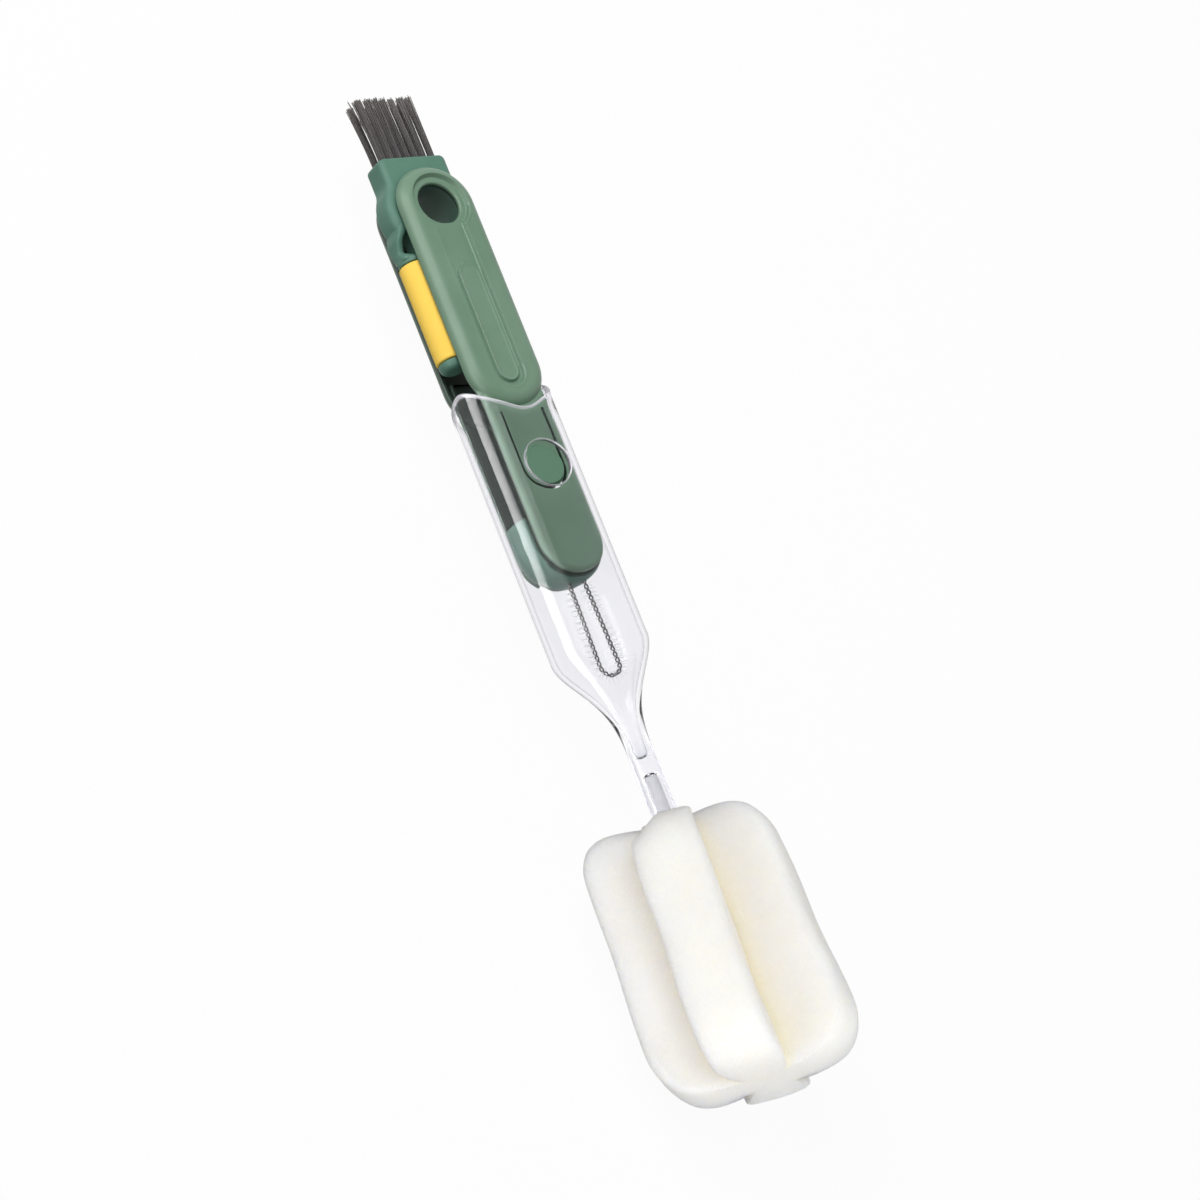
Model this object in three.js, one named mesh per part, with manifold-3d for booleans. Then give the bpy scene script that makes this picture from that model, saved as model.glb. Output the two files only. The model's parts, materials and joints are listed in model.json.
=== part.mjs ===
// Cup brush: a sponge on a clear hollow handle, with a three-in-one gap tool stowed in the handle.
// Millimetres. +X runs towards the sponge, +Z is the front with the button and the bare label pad.
// Every place along X is measured from the centre of the hanging hole; the last lines set the whole
// on its origin, under the middle of its box.

import * as THREE from 'three';
import { mergeVertices } from 'three/addons/utils/BufferGeometryUtils.js';
import Module from 'manifold-3d';

const wasm = await Module();
wasm.setup();

// Fits
const gap = 0.3;              // between pieces that seat on or slide past each other
const slideGap = 0.4;         // between the base's sides and the clear handle
const sleeveGap = 0.4;        // between the wiping sleeve and the covers
const windowMargin = 0.7;     // ring left open round the button in the latch window
const slit = 0.7;             // saw-cut round the latch tongue
const seam = 0.4;             // line between the leaf's round end and the base

// Facets
const arcSteps = 10;          // along each quarter of a large round outline
const fewArcSteps = 4;        // the same on small outlines
const roundSides = 48;
const boreSides = 24;
const smallSides = 12;
const loopSteps = 30;         // along the wire
const shoulderSteps = 12;     // along the clear handle's shoulder
const cornerPull = 0.55;      // how far a rounded corner's curve handles reach towards the corner
const cornerShare = 0.97;     // corner radius of the round rod, as a share of its half width

// Grip: two covers with round ends, open between them
const gripWidth = 25;
const gripThickness = 18.4;
const gripEnd = 64.6;         // far round end of the grip
const gripEdge = 4;           // rounding of the outer edges
const slotHeight = 10;        // clear height between the covers
const hangingHole = 13;       // diameter
const rimRecess = 18;         // diameter of the dished ring round the hanging hole
const recessDepth = 1.2;
const channelWidth = 10.3;
const channelMargin = 5.6;    // from the channel's end to the grip's end
const padWidth = 7;
const padStart = 19.7;
const padMargin = 2;          // from the pad's end to the channel's end
const padHeight = 0.9;        // above the floor of the channel
const softEdge = 0.5;         // small edge rounding on moulded details

// Leaves: the covers' thinner tails, which slide into the clear handle
const leafThickness = 14.6;   // over both leaves
const leafEdge = 1.2;
const leafInset = 1.6;        // from the base's sides to the leaves' sides
const leafLength = 50.2;      // past the grip's end

// Base block that joins the leaves and holds the wire brush
const baseLength = 19.8;
const baseNose = 1.4;         // past the leaves' ends
const baseThickness = 12.4;
const baseEdge = 4.6;

// Latch: a tongue cut from the front leaf, with a round button
const tongueSetback = 1.2;    // from the grip's end to the root of the tongue
const tongueLength = 17.2;    // from its root to the middle of the button
const tongueWidth = 13;
const buttonDiameter = 12.4;

// Pivot tube, which keeps the covers apart and carries the arm
const tubeWall = 1.7;
const tubeSeat = 1.2;         // depth of its seat in each cover

// Flip arm
const hubDiameter = 29;
const hubEdge = 1.6;
const blockWidth = 23;
const blockStart = -17.4;     // face that the bristles stand on
const blockCorner = 2;
const neckThickness = 4.4;
const neckDrop = 1.4;         // how far the neck lies behind the middle plane
const neckWidth = 8.4;
const neckCorner = 1.6;
const neckStart = 4;          // the hub is cut down to the neck from here on
const neckWindowStart = 5.2;
const neckWindowLength = 7;
const neckWindowWidth = 4;
const neckWindowCorner = 1;
const collarThickness = 1.6;
const spindleDiameter = 5;

// Wiping sleeve on the arm, beside the middle so that a thumb can push it out
const sleeveOffset = 10.4;
const sleeveStart = 15.1;
const sleeveLength = 30.4;
const capLength = 3;
const capEdge = 2;            // rounding of the cap's end

// Bristle tufts
const tuftColumns = 7;
const tuftRows = 2;
const tuftPitch = 2.8;
const tuftRowPitch = 3.8;
const tuftDiameter = 2;
const tuftTipDiameter = 2.4;
const tuftLength = 20;        // free length
const tuftDepth = 5;          // length held in the block
const tuftClearance = 0.2;

// Wire brush: a twisted wire bent to a U, with filaments all along it
const wireDiameter = 1.5;
const wireSpan = 5.8;         // between the two legs
const wireHeight = 1.4;       // over the middle plane
const wireLength = 28.2;      // from the base to the outside of the bend
const wireDepth = 8;          // length held in the base
const filamentDiameter = 5.2;

// Clear handle: a flat case that narrows to a rod
const caseWidth = 27;
const caseThickness = 20.4;
const caseCorner = 7.6;
const caseWall = 1.4;
const mouthGap = 1;           // from the grip's end to the lowest places of the wavy rim, front and back
const mouthWave = 9.8;        // how far the rim climbs at the sides
const shoulderLead = 8.9;     // length of the wire brush that stands in the shoulder
const shoulderLength = 35;
const rodDiameter = 7.1;
const rodLength = 25.5;
const cavityFloor = 2.1;      // from the cavity's end to the shoulder's end
const cavityTip = 3.6;        // diameter at the end of the cavity
const socketWall = 4.2;       // between the cavity and the socket
const socketDiameter = 4;

// Sponge and the barbed core that holds it
const rodDepth = 7.8;         // length of the rod in the sponge
const spongeLength = 72.8;
const spongeSpan = 55.2;      // across two opposite lobes at the far end
const spongeTopSpan = 50.2;
const lobeWidth = 18.5;
const lobeEdge = 1;
const spongeTopRound = 12;    // rounding of the lobes' corners, seen from the side
const spongeEndRound = 15;
const coreLength = 68;
const barbDiameter = 6.2;
const barbLength = 5;
const barbCount = 3;
const barbPitch = 12;

// Worked out from the above
const gripRadius = gripWidth / 2;
const gripTop = gripThickness / 2;
const gripCentre = gripEnd - gripRadius;
const channelEnd = gripEnd - channelMargin;
const padEnd = channelEnd - padMargin;
const slotTop = slotHeight / 2;
const armTop = slotTop - gap;
const baseRadius = caseWidth / 2 - caseWall - slideGap;
const leafRadius = baseRadius - leafInset;
const leafTop = leafThickness / 2;
const leafEnd = gripEnd + leafLength;
const leafCentre = leafEnd - leafRadius;
const tongueRoot = gripEnd + tongueSetback;
const buttonPlace = tongueRoot + tongueLength;
const buttonTop = caseThickness / 2 - caseWall - gap;
const baseEnd = leafEnd + baseNose;
const baseStart = baseEnd - baseLength;
const tubeRadius = hangingHole / 2 + tubeWall;
const sleeveRadius = slotTop - sleeveGap;
const sleeveEnd = sleeveStart + sleeveLength;
const wireEnd = baseEnd + wireLength;
const mouthFront = gripEnd + mouthGap;
const shoulderStart = wireEnd - shoulderLead;
const shoulderEnd = shoulderStart + shoulderLength;
const cavityEnd = shoulderEnd - cavityFloor;
const socketStart = cavityEnd + socketWall;
const rodRadius = rodDiameter / 2;
const rodEnd = shoulderEnd + rodLength;
const spongeStart = rodEnd - rodDepth;
const spongeEnd = spongeStart + spongeLength;
const reach = spongeEnd;      // longer than any cut that goes right through

function finish(color, roughness, options = {}) {
  return new THREE.MeshStandardMaterial({ color, roughness, metalness: 0, ...options });
}
const sageGreen = finish(0x76967d, 0.5);
const deepTeal = finish(0x4f8275, 0.45);
const buttonGreen = finish(0x628a70, 0.5);
const warmYellow = finish(0xffd046, 0.55);
const darkNylon = finish(0x55504f, 0.6);
const whiteNylon = finish(0xf2f2f0, 0.6);
const clearPlastic = finish(0xeef0f4, 0.08, { transparent: true, opacity: 0.3 });
const creamFoam = finish(0xf7f5ea, 0.95);
const twistedSteel = finish(0x9a9a98, 0.35, { metalness: 0.9 });

const brush = new THREE.Group();

// A closed geometry as a solid that can be joined and cut
function solid(geometry) {
  geometry.deleteAttribute('normal');
  geometry.deleteAttribute('uv');
  const merged = mergeVertices(geometry, 1e-4);
  return new wasm.Manifold(new wasm.Mesh({
    numProp: 3,
    vertProperties: Float32Array.from(merged.attributes.position.array),
    triVerts: Uint32Array.from(merged.index.array),
  }));
}

function addPiece(name, body, material) {
  const { vertProperties, triVerts } = body.getMesh();
  const geometry = new THREE.BufferGeometry();
  geometry.setAttribute('position', new THREE.BufferAttribute(vertProperties, 3));
  geometry.setIndex(new THREE.BufferAttribute(triVerts, 1));
  geometry.computeVertexNormals();
  const piece = new THREE.Mesh(geometry, material);
  piece.name = name;
  brush.add(piece);
}

function block(x0, x1, y0, y1, z0, z1) {
  const geometry = new THREE.BoxGeometry(x1 - x0, y1 - y0, z1 - z0);
  geometry.translate((x0 + x1) / 2, (y0 + y1) / 2, (z0 + z1) / 2);
  return solid(geometry);
}

// An outline in the XY plane carried from one height to another, with rounded edges
function slab(shape, bottom, top, edge = 0, steps = arcSteps) {
  const geometry = new THREE.ExtrudeGeometry(shape, {
    depth: top - bottom - 2 * edge,
    bevelEnabled: edge > 0,
    bevelThickness: edge,
    bevelSize: edge,
    bevelOffset: -edge,
    bevelSegments: edge > 1 ? 4 : 2,
    curveSegments: steps,
  });
  geometry.translate(0, 0, bottom + edge);
  return solid(geometry);
}

// A long outline with a half circle at each end, given by the centres of those half circles
function stadium(x0, x1, radius) {
  const shape = new THREE.Shape();
  shape.absarc(x1, 0, radius, -Math.PI / 2, Math.PI / 2, false);
  shape.absarc(x0, 0, radius, Math.PI / 2, 1.5 * Math.PI, false);
  return shape;
}

function disc(radius) {
  return new THREE.Shape().absarc(0, 0, radius, 0, 2 * Math.PI, false);
}

function roundedRectangle(width, height, corner) {
  const x = width / 2 - corner;
  const y = height / 2 - corner;
  const shape = new THREE.Shape();
  shape.absarc(x, -y, corner, -Math.PI / 2, 0, false);
  shape.absarc(x, y, corner, 0, Math.PI / 2, false);
  shape.absarc(-x, y, corner, Math.PI / 2, Math.PI, false);
  shape.absarc(-x, -y, corner, Math.PI, 1.5 * Math.PI, false);
  return shape;
}

// A polygon of [x, y, corner radius] points, with each corner rounded off
function roundedPolygon(corners) {
  const shape = new THREE.Shape();
  const points = corners.map(([x, y]) => new THREE.Vector2(x, y));
  corners.forEach(([, , radius], i) => {
    const corner = points[i];
    const before = points.at(i - 1).clone().sub(corner).setLength(radius).add(corner);
    const after = points[(i + 1) % points.length].clone().sub(corner).setLength(radius).add(corner);
    const draw = i === 0 ? 'moveTo' : 'lineTo';
    shape[draw](before.x, before.y);
    shape.bezierCurveTo(
      ...before.clone().lerp(corner, cornerPull).toArray(),
      ...after.clone().lerp(corner, cornerPull).toArray(),
      after.x, after.y,
    );
  });
  return shape;
}

// A round bar or bore along X
function barAlongX(x0, x1, radius, y = 0, z = 0, sides = boreSides) {
  const geometry = new THREE.CylinderGeometry(radius, radius, x1 - x0, sides);
  geometry.rotateZ(-Math.PI / 2);
  geometry.translate((x0 + x1) / 2, y, z);
  return solid(geometry);
}

function barAlongZ(x, z0, z1, radius, sides = roundSides) {
  const geometry = new THREE.CylinderGeometry(radius, radius, z1 - z0, sides);
  geometry.rotateX(Math.PI / 2);
  geometry.translate(x, 0, (z0 + z1) / 2);
  return solid(geometry);
}

// A profile of [distance along X, radius] points, from the axis to the axis or closed, turned about X
function turned(profile, y = 0, sides = boreSides) {
  const points = profile.map(([along, radius]) => new THREE.Vector2(radius, along));
  const geometry = new THREE.LatheGeometry(points, sides);
  geometry.rotateZ(-Math.PI / 2);
  geometry.translate(0, y, 0);
  return solid(geometry);
}

// A quarter round from a flat end to a side, as [distance along X, radius] points
function quarterRound(x, radius, edge, from, to, steps = fewArcSteps) {
  return Array.from({ length: steps + 1 }, (_, i) => {
    const angle = from + (to - from) * i / steps;
    return [x + edge * Math.cos(angle), radius + edge * Math.sin(angle)];
  });
}

// Rings of equal count, one after another along X, skinned and closed at both ends
function loft(rings) {
  const count = rings[0].length;
  const vertices = rings.flat();
  const middle = (ring) => ring.reduce((sum, p) => sum.add(p), new THREE.Vector3()).divideScalar(count);
  const first = vertices.push(middle(rings[0])) - 1;
  const last = vertices.push(middle(rings.at(-1))) - 1;
  const lastRing = (rings.length - 1) * count;
  const faces = [];
  for (let i = 0; i < count; i++) {
    const next = (i + 1) % count;
    for (let ring = 0; ring < lastRing; ring += count) {
      faces.push(ring + i, ring + next, ring + count + next);
      faces.push(ring + i, ring + count + next, ring + count + i);
    }
    faces.push(first, next, i);
    faces.push(last, lastRing + i, lastRing + next);
  }
  const geometry = new THREE.BufferGeometry().setFromPoints(vertices);
  geometry.setIndex(faces);
  return solid(geometry);
}

// Covers: one rounded bar with a thinner tail, split by the slot
const bar = slab(stadium(0, gripCentre, gripRadius), -gripTop, gripTop, gripEdge)
  .add(slab(stadium(gripCentre, leafCentre, leafRadius), -leafTop, leafTop, leafEdge))
  .subtract(barAlongZ(0, -reach, reach, hangingHole / 2))
  .subtract(barAlongZ(0, -slotTop - tubeSeat, slotTop + tubeSeat, tubeRadius + gap));

function tongueOutline(start, margin) {
  const half = tongueWidth / 2 + margin;
  const shape = new THREE.Shape();
  shape.moveTo(start, half);
  shape.lineTo(start, -half);
  shape.absarc(buttonPlace, 0, half, -Math.PI / 2, Math.PI / 2, false);
  return shape;
}

const channelFloor = gripTop - recessDepth;
const channel = stadium(0, channelEnd - channelWidth / 2, channelWidth / 2);
const pad = stadium(padStart + padWidth / 2, padEnd - padWidth / 2, padWidth / 2);
const frontCover = bar
  .intersect(block(-reach, reach, -reach, reach, slotTop, reach))
  .subtract(slab(disc(rimRecess / 2), channelFloor, reach, softEdge))
  .subtract(slab(channel, channelFloor, reach, softEdge))
  .add(slab(pad, channelFloor - softEdge, channelFloor + padHeight, softEdge / 2, fewArcSteps))
  .subtract(slab(tongueOutline(tongueRoot - gap, slit), 0, reach));
addPiece('front_cover', frontCover, sageGreen);

const backCover = bar.intersect(block(-reach, reach, -reach, reach, -reach, -slotTop));
addPiece('back_cover', backCover, sageGreen);

// Latch tongue with its button
const buttonDisc = slab(disc(buttonDiameter / 2), slotTop + softEdge, buttonTop, softEdge)
  .translate([buttonPlace, 0, 0]);
const tongue = slab(tongueOutline(tongueRoot, 0), slotTop, leafTop).add(buttonDisc);
addPiece('latch_tongue', tongue, buttonGreen);

// Base block: fills the slot's end and closes round the leaves' ends
const baseTop = baseThickness / 2;
const baseBar = slab(stadium(gripCentre, baseEnd - baseRadius, baseRadius), -baseTop, baseTop, baseEdge);
const leafPocket = stadium(gripCentre, leafCentre, leafRadius + seam);
const legRadius = wireDiameter / 2;
let baseBlock = baseBar
  .intersect(block(baseStart, reach, -reach, reach, -reach, reach))
  .subtract(slab(leafPocket, slotTop - gap, reach))
  .subtract(slab(leafPocket, -reach, -slotTop + gap));
for (const side of [-1, 1]) {
  baseBlock = baseBlock.subtract(barAlongX(baseEnd - wireDepth - gap, reach, legRadius + gap,
    side * wireSpan / 2, wireHeight, smallSides));
}
addPiece('base_block', baseBlock, deepTeal);

// Pivot tube, trapped between the covers
const tubeEnd = slotTop + tubeSeat - gap;
const pivotTube = barAlongZ(0, -tubeEnd, tubeEnd, tubeRadius)
  .subtract(barAlongZ(0, -reach, reach, hangingHole / 2));
addPiece('pivot_tube', pivotTube, deepTeal);

// Wire brush: the path runs out along one leg, round the bend and back along the other
class LoopPath extends THREE.Curve {
  constructor(start, end, span, height) {
    super();
    this.start = start;
    this.height = height;
    this.radius = span / 2;
    this.straight = end - this.radius - start;
  }

  getPoint(t, target = new THREE.Vector3()) {
    const total = 2 * this.straight + Math.PI * this.radius;
    const along = t * total;
    if (along <= this.straight) {
      return target.set(this.start + along, -this.radius, this.height);
    }
    if (along >= total - this.straight) {
      return target.set(this.start + total - along, this.radius, this.height);
    }
    const angle = (along - this.straight) / this.radius - Math.PI / 2;
    const x = this.start + this.straight + this.radius * Math.cos(angle);
    return target.set(x, this.radius * Math.sin(angle), this.height);
  }
}

function sweep(shape, path) {
  return solid(new THREE.ExtrudeGeometry(shape, {
    extrudePath: path, steps: loopSteps, curveSegments: fewArcSteps,
  }));
}

const bendEnd = wireEnd - legRadius;
const wirePath = new LoopPath(baseEnd - wireDepth, bendEnd, wireSpan, wireHeight);
addPiece('wire_loop', sweep(disc(legRadius), wirePath), twistedSteel);

const filamentSection = disc(filamentDiameter / 2);
filamentSection.holes.push(new THREE.Path().absarc(0, 0, legRadius + gap, 0, 2 * Math.PI, true));
const filamentPath = new LoopPath(baseEnd + gap, bendEnd, wireSpan, wireHeight);
addPiece('wire_filaments', sweep(filamentSection, filamentPath), whiteNylon);

// Flip arm: hub, bristle block, windowed neck, collar and spindle in one moulding
const blockOutline = roundedRectangle(2 * armTop, blockWidth, blockCorner);
const bristleBlock = slab(blockOutline, 0, -blockStart, softEdge, fewArcSteps).rotate([0, -90, 0]);
const collarStart = sleeveStart - gap - collarThickness;
const neckOutline = roundedRectangle(neckThickness, neckWidth, neckCorner);
const neck = slab(neckOutline, 0, collarStart + collarThickness / 2, 0, fewArcSteps)
  .rotate([0, 90, 0])
  .translate([0, -sleeveOffset, -neckDrop]);
const neckWindow = slab(roundedRectangle(neckWindowLength, neckWindowWidth, neckWindowCorner), -reach, reach, 0,
  fewArcSteps).translate([neckWindowStart + neckWindowLength / 2, -sleeveOffset, 0]);
const neckSide = -sleeveOffset + neckWidth / 2;
const neckFront = neckThickness / 2 - neckDrop;
const neckBack = -neckThickness / 2 - neckDrop;
const hub = slab(disc(hubDiameter / 2), -armTop, armTop, hubEdge)
  .subtract(block(neckStart, reach, -reach, neckSide, neckFront, reach))
  .subtract(block(neckStart, reach, -reach, neckSide, -reach, neckBack));
const collarRadius = sleeveRadius - gap;
let flipArm = hub
  .add(bristleBlock)
  .add(neck)
  .subtract(neckWindow)
  .add(barAlongX(collarStart, collarStart + collarThickness, collarRadius, -sleeveOffset))
  .add(barAlongX(collarStart, sleeveEnd + capLength / 2, spindleDiameter / 2, -sleeveOffset))
  .subtract(barAlongZ(0, -reach, reach, tubeRadius + gap));

// Bristle tufts in sockets drilled into the block
const tuftPlaces = [];
for (let row = 0; row < tuftRows; row++) {
  for (let column = 0; column < tuftColumns; column++) {
    tuftPlaces.push([
      (column - (tuftColumns - 1) / 2) * tuftPitch,
      (row - (tuftRows - 1) / 2) * tuftRowPitch,
    ]);
  }
}
const tuftRoot = blockStart + tuftDepth;
const tuftSocket = tuftDiameter / 2 + tuftClearance;
for (const [y, z] of tuftPlaces) {
  flipArm = flipArm.subtract(barAlongX(blockStart - reach, tuftRoot + gap, tuftSocket, y, z, smallSides));
}
addPiece('flip_arm', flipArm, deepTeal);

tuftPlaces.forEach(([y, z], index) => {
  const length = tuftLength + tuftDepth;
  const geometry = new THREE.CylinderGeometry(tuftDiameter / 2, tuftTipDiameter / 2, length, smallSides);
  geometry.rotateZ(-Math.PI / 2);
  geometry.translate(tuftRoot - length / 2, y, z);
  addPiece(`bristle_tuft_${index + 1}`, solid(geometry), darkNylon);
});

// Wiping sleeve and the domed cap that keeps it on the spindle
const sleeveBore = spindleDiameter / 2 + gap;
const sleeveCore = sleeveRadius - softEdge;
const sleeveProfile = [
  [sleeveStart, sleeveBore],
  ...quarterRound(sleeveStart + softEdge, sleeveCore, softEdge, Math.PI, Math.PI / 2),
  ...quarterRound(sleeveEnd - softEdge, sleeveCore, softEdge, Math.PI / 2, 0),
  [sleeveEnd, sleeveBore],
  [sleeveStart, sleeveBore],
];
addPiece('wipe_sleeve', turned(sleeveProfile, -sleeveOffset), warmYellow);

const capStart = sleeveEnd + gap;
const capEnd = sleeveEnd + capLength;
const capProfile = [
  [capStart, 0],
  [capStart, collarRadius],
  ...quarterRound(capEnd - capEdge, collarRadius - capEdge, capEdge, Math.PI / 2, 0),
  [capEnd, 0],
];
const capBore = barAlongX(0, sleeveEnd + capLength / 2 + gap, sleeveBore, -sleeveOffset);
addPiece('sleeve_cap', turned(capProfile, -sleeveOffset).subtract(capBore), deepTeal);

// Clear handle: rounded rectangles that ease into a round rod along an ogee shoulder
function shoulderShare(x) {
  const t = Math.min(Math.max((x - shoulderStart) / shoulderLength, 0), 1);
  return 1 - (1 - t) ** 4 * (1 + 4 * t);
}

function caseRing(x, inset, endRadius) {
  const share = shoulderShare(x);
  const halfWidth = THREE.MathUtils.lerp(caseWidth / 2 - inset, endRadius, share);
  const halfHeight = THREE.MathUtils.lerp(caseThickness / 2 - inset, endRadius, share);
  const corner = THREE.MathUtils.lerp(caseCorner - inset, endRadius * cornerShare, share);
  const outline = roundedRectangle(2 * halfWidth, 2 * halfHeight, corner);
  return outline.extractPoints(fewArcSteps).shape.slice(0, -1).map((p) => new THREE.Vector3(x, p.x, p.y));
}

function caseBody(start, end, inset, endRadius) {
  const places = [start, shoulderStart];
  const narrowest = Math.min(shoulderEnd, end);
  for (let i = 1; i <= shoulderSteps; i++) {
    places.push(THREE.MathUtils.lerp(shoulderStart, narrowest, i / shoulderSteps));
  }
  if (end > narrowest) {
    places.push(end);
  }
  return loft(places.map((x) => caseRing(x, inset, endRadius)));
}

// What is cut away above the rim: a wide plug whose end waves with the angle round the case
function mouthCutter() {
  const wave = mouthWave / 2;
  const middle = mouthFront - wave;
  const plug = roundedRectangle(caseWidth + 2 * caseWall, caseThickness + 2 * caseWall, caseCorner);
  const outline = plug.extractPoints(arcSteps / 2).shape.slice(0, -1);
  const rimRing = outline.map((p) => {
    const angle = Math.atan2(p.x / caseWidth, p.y / caseThickness);
    return new THREE.Vector3(middle + wave * Math.cos(2 * angle), p.x, p.y);
  });
  const farRing = outline.map((p) => new THREE.Vector3(-reach, p.x, p.y));
  return loft([farRing, rimRing]);
}

const socketRadius = socketDiameter / 2;
const socketProfile = [
  [socketStart, 0],
  ...quarterRound(socketStart + socketRadius, 0, socketRadius, Math.PI, Math.PI / 2).slice(1),
  [rodEnd + reach, socketRadius],
  [rodEnd + reach, 0],
];
const clearHandle = caseBody(gripCentre, rodEnd, 0, rodRadius)
  .subtract(caseBody(0, cavityEnd, caseWall, cavityTip / 2))
  .subtract(mouthCutter())
  .subtract(slab(stadium(0, gripCentre, gripRadius + seam), -reach, reach))
  .subtract(barAlongZ(buttonPlace, 0, reach, buttonDiameter / 2 + windowMargin))
  .subtract(turned(socketProfile));
addPiece('clear_handle', clearHandle, clearPlastic);

// Core: a pin with a round nose in the rod's socket and barbs inside the sponge
const coreRadius = socketRadius - gap;
const coreStart = socketStart + gap;
const coreEnd = coreStart + coreLength;
const coreProfile = [
  [coreStart, 0],
  ...quarterRound(coreStart + coreRadius, 0, coreRadius, Math.PI, Math.PI / 2).slice(1),
];
for (let i = barbCount - 1; i >= 0; i--) {
  const barbTip = coreEnd - i * barbPitch;
  coreProfile.push([barbTip - barbLength, coreRadius]);
  coreProfile.push([barbTip - barbLength, barbDiameter / 2]);
  coreProfile.push([barbTip, coreRadius]);
}
coreProfile.push([coreEnd, 0]);
addPiece('sponge_core', turned(coreProfile), whiteNylon);

// Sponge: two crossed slabs with rounded corners make four lobes, set diagonally so that it lies on two
const slabOutline = roundedPolygon([
  [spongeStart, -spongeTopSpan / 2, spongeTopRound],
  [spongeEnd, -spongeSpan / 2, spongeEndRound],
  [spongeEnd, spongeSpan / 2, spongeEndRound],
  [spongeStart, spongeTopSpan / 2, spongeTopRound],
]);
const spongeSlab = slab(slabOutline, -lobeWidth / 2, lobeWidth / 2, lobeEdge);
const spongeBore = barAlongX(spongeStart - reach, rodEnd + gap, rodRadius + gap)
  .add(barAlongX(spongeStart, coreEnd + gap, barbDiameter / 2 + gap));
const spongeHead = spongeSlab.rotate([45, 0, 0])
  .add(spongeSlab.rotate([-45, 0, 0]))
  .subtract(spongeBore);
addPiece('sponge_head', spongeHead, creamFoam);

// The origin lies under the middle of the whole
const box = new THREE.Box3().setFromObject(brush);
brush.position.set(-(box.min.x + box.max.x) / 2, -(box.min.y + box.max.y) / 2, -box.min.z);

export default brush;
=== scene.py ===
import json
import math

import bmesh
import bpy
import numpy as np
from mathutils import Matrix


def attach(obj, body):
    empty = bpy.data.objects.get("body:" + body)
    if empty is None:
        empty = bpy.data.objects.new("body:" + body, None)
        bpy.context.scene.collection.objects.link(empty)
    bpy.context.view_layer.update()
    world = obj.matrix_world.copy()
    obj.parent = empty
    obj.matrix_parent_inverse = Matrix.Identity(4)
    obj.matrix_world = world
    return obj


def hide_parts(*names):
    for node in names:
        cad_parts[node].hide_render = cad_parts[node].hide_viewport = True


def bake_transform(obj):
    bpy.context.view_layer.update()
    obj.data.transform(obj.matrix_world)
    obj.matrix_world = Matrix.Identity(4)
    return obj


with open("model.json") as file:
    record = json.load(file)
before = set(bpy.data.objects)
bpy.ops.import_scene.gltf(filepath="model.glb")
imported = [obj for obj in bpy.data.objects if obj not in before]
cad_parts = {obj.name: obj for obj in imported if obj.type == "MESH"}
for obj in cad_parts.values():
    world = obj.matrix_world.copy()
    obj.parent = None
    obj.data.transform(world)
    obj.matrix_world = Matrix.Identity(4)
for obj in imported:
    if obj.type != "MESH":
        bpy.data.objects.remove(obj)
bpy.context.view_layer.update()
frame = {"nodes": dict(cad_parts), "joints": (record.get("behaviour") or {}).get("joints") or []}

# Sizes are millimetres from the middle of the hanging hole: x to the sponge, y across, z to the front
joints = {joint["name"]: joint for joint in frame["joints"]}
holeMiddle = np.array(joints["arm_flip"]["pos_m"])
mm = 0.001
mergeReach = 2e-7                  # metres within which two points are one
quarter, fullTurn = math.pi / 2, 2 * math.pi
rng = np.random.default_rng(seed=11)


def place(points):                 # from those sizes to metres in the part's frame
    return points * mm + holeMiddle


def smooth(low, high, value):      # eased step, 0 at low and 1 at high
    t = np.clip((value - low) / (high - low), 0, 1)
    return t * t * (3 - 2 * t)


def mix(a, b, share):              # straight from a to b
    return a + (b - a) * share


def around(sides):                 # even angles round a full turn
    return np.linspace(0, fullTurn, sides, endpoint=False)


def screen(red, green, blue):      # 8-bit screen colour as linear light, by the standard screen curve
    c = np.array([red, green, blue]) / 255
    return (*np.where(c <= 0.04045, c / 12.92, ((c + 0.055) / 1.055) ** 2.4), 1.0)


# Meshes from grids

def quads(rows, columns, loopRows=False, loopColumns=False):   # corners of each cell of a grid
    r = np.arange(rows if loopRows else rows - 1)[:, None]
    c = np.arange(columns if loopColumns else columns - 1)[None, :]
    r, c = np.broadcast_arrays(r, c)
    rNext, cNext = (r + 1) % rows, (c + 1) % columns
    corners = [r * columns + c, r * columns + cNext, rNext * columns + cNext, rNext * columns + c]
    return np.stack(corners, -1).reshape(-1, 4)


def surface(points, loopRows=False, loopColumns=False):        # a grid as a part: its points and its cells
    return points.reshape(-1, 3), quads(*points.shape[:2], loopRows, loopColumns)


def mirrored(part, axis):          # a part's reflection, its cells turned over to match
    points, faces = part[0].copy(), part[1][:, ::-1]
    points[:, axis] *= -1
    return points, faces


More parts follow.
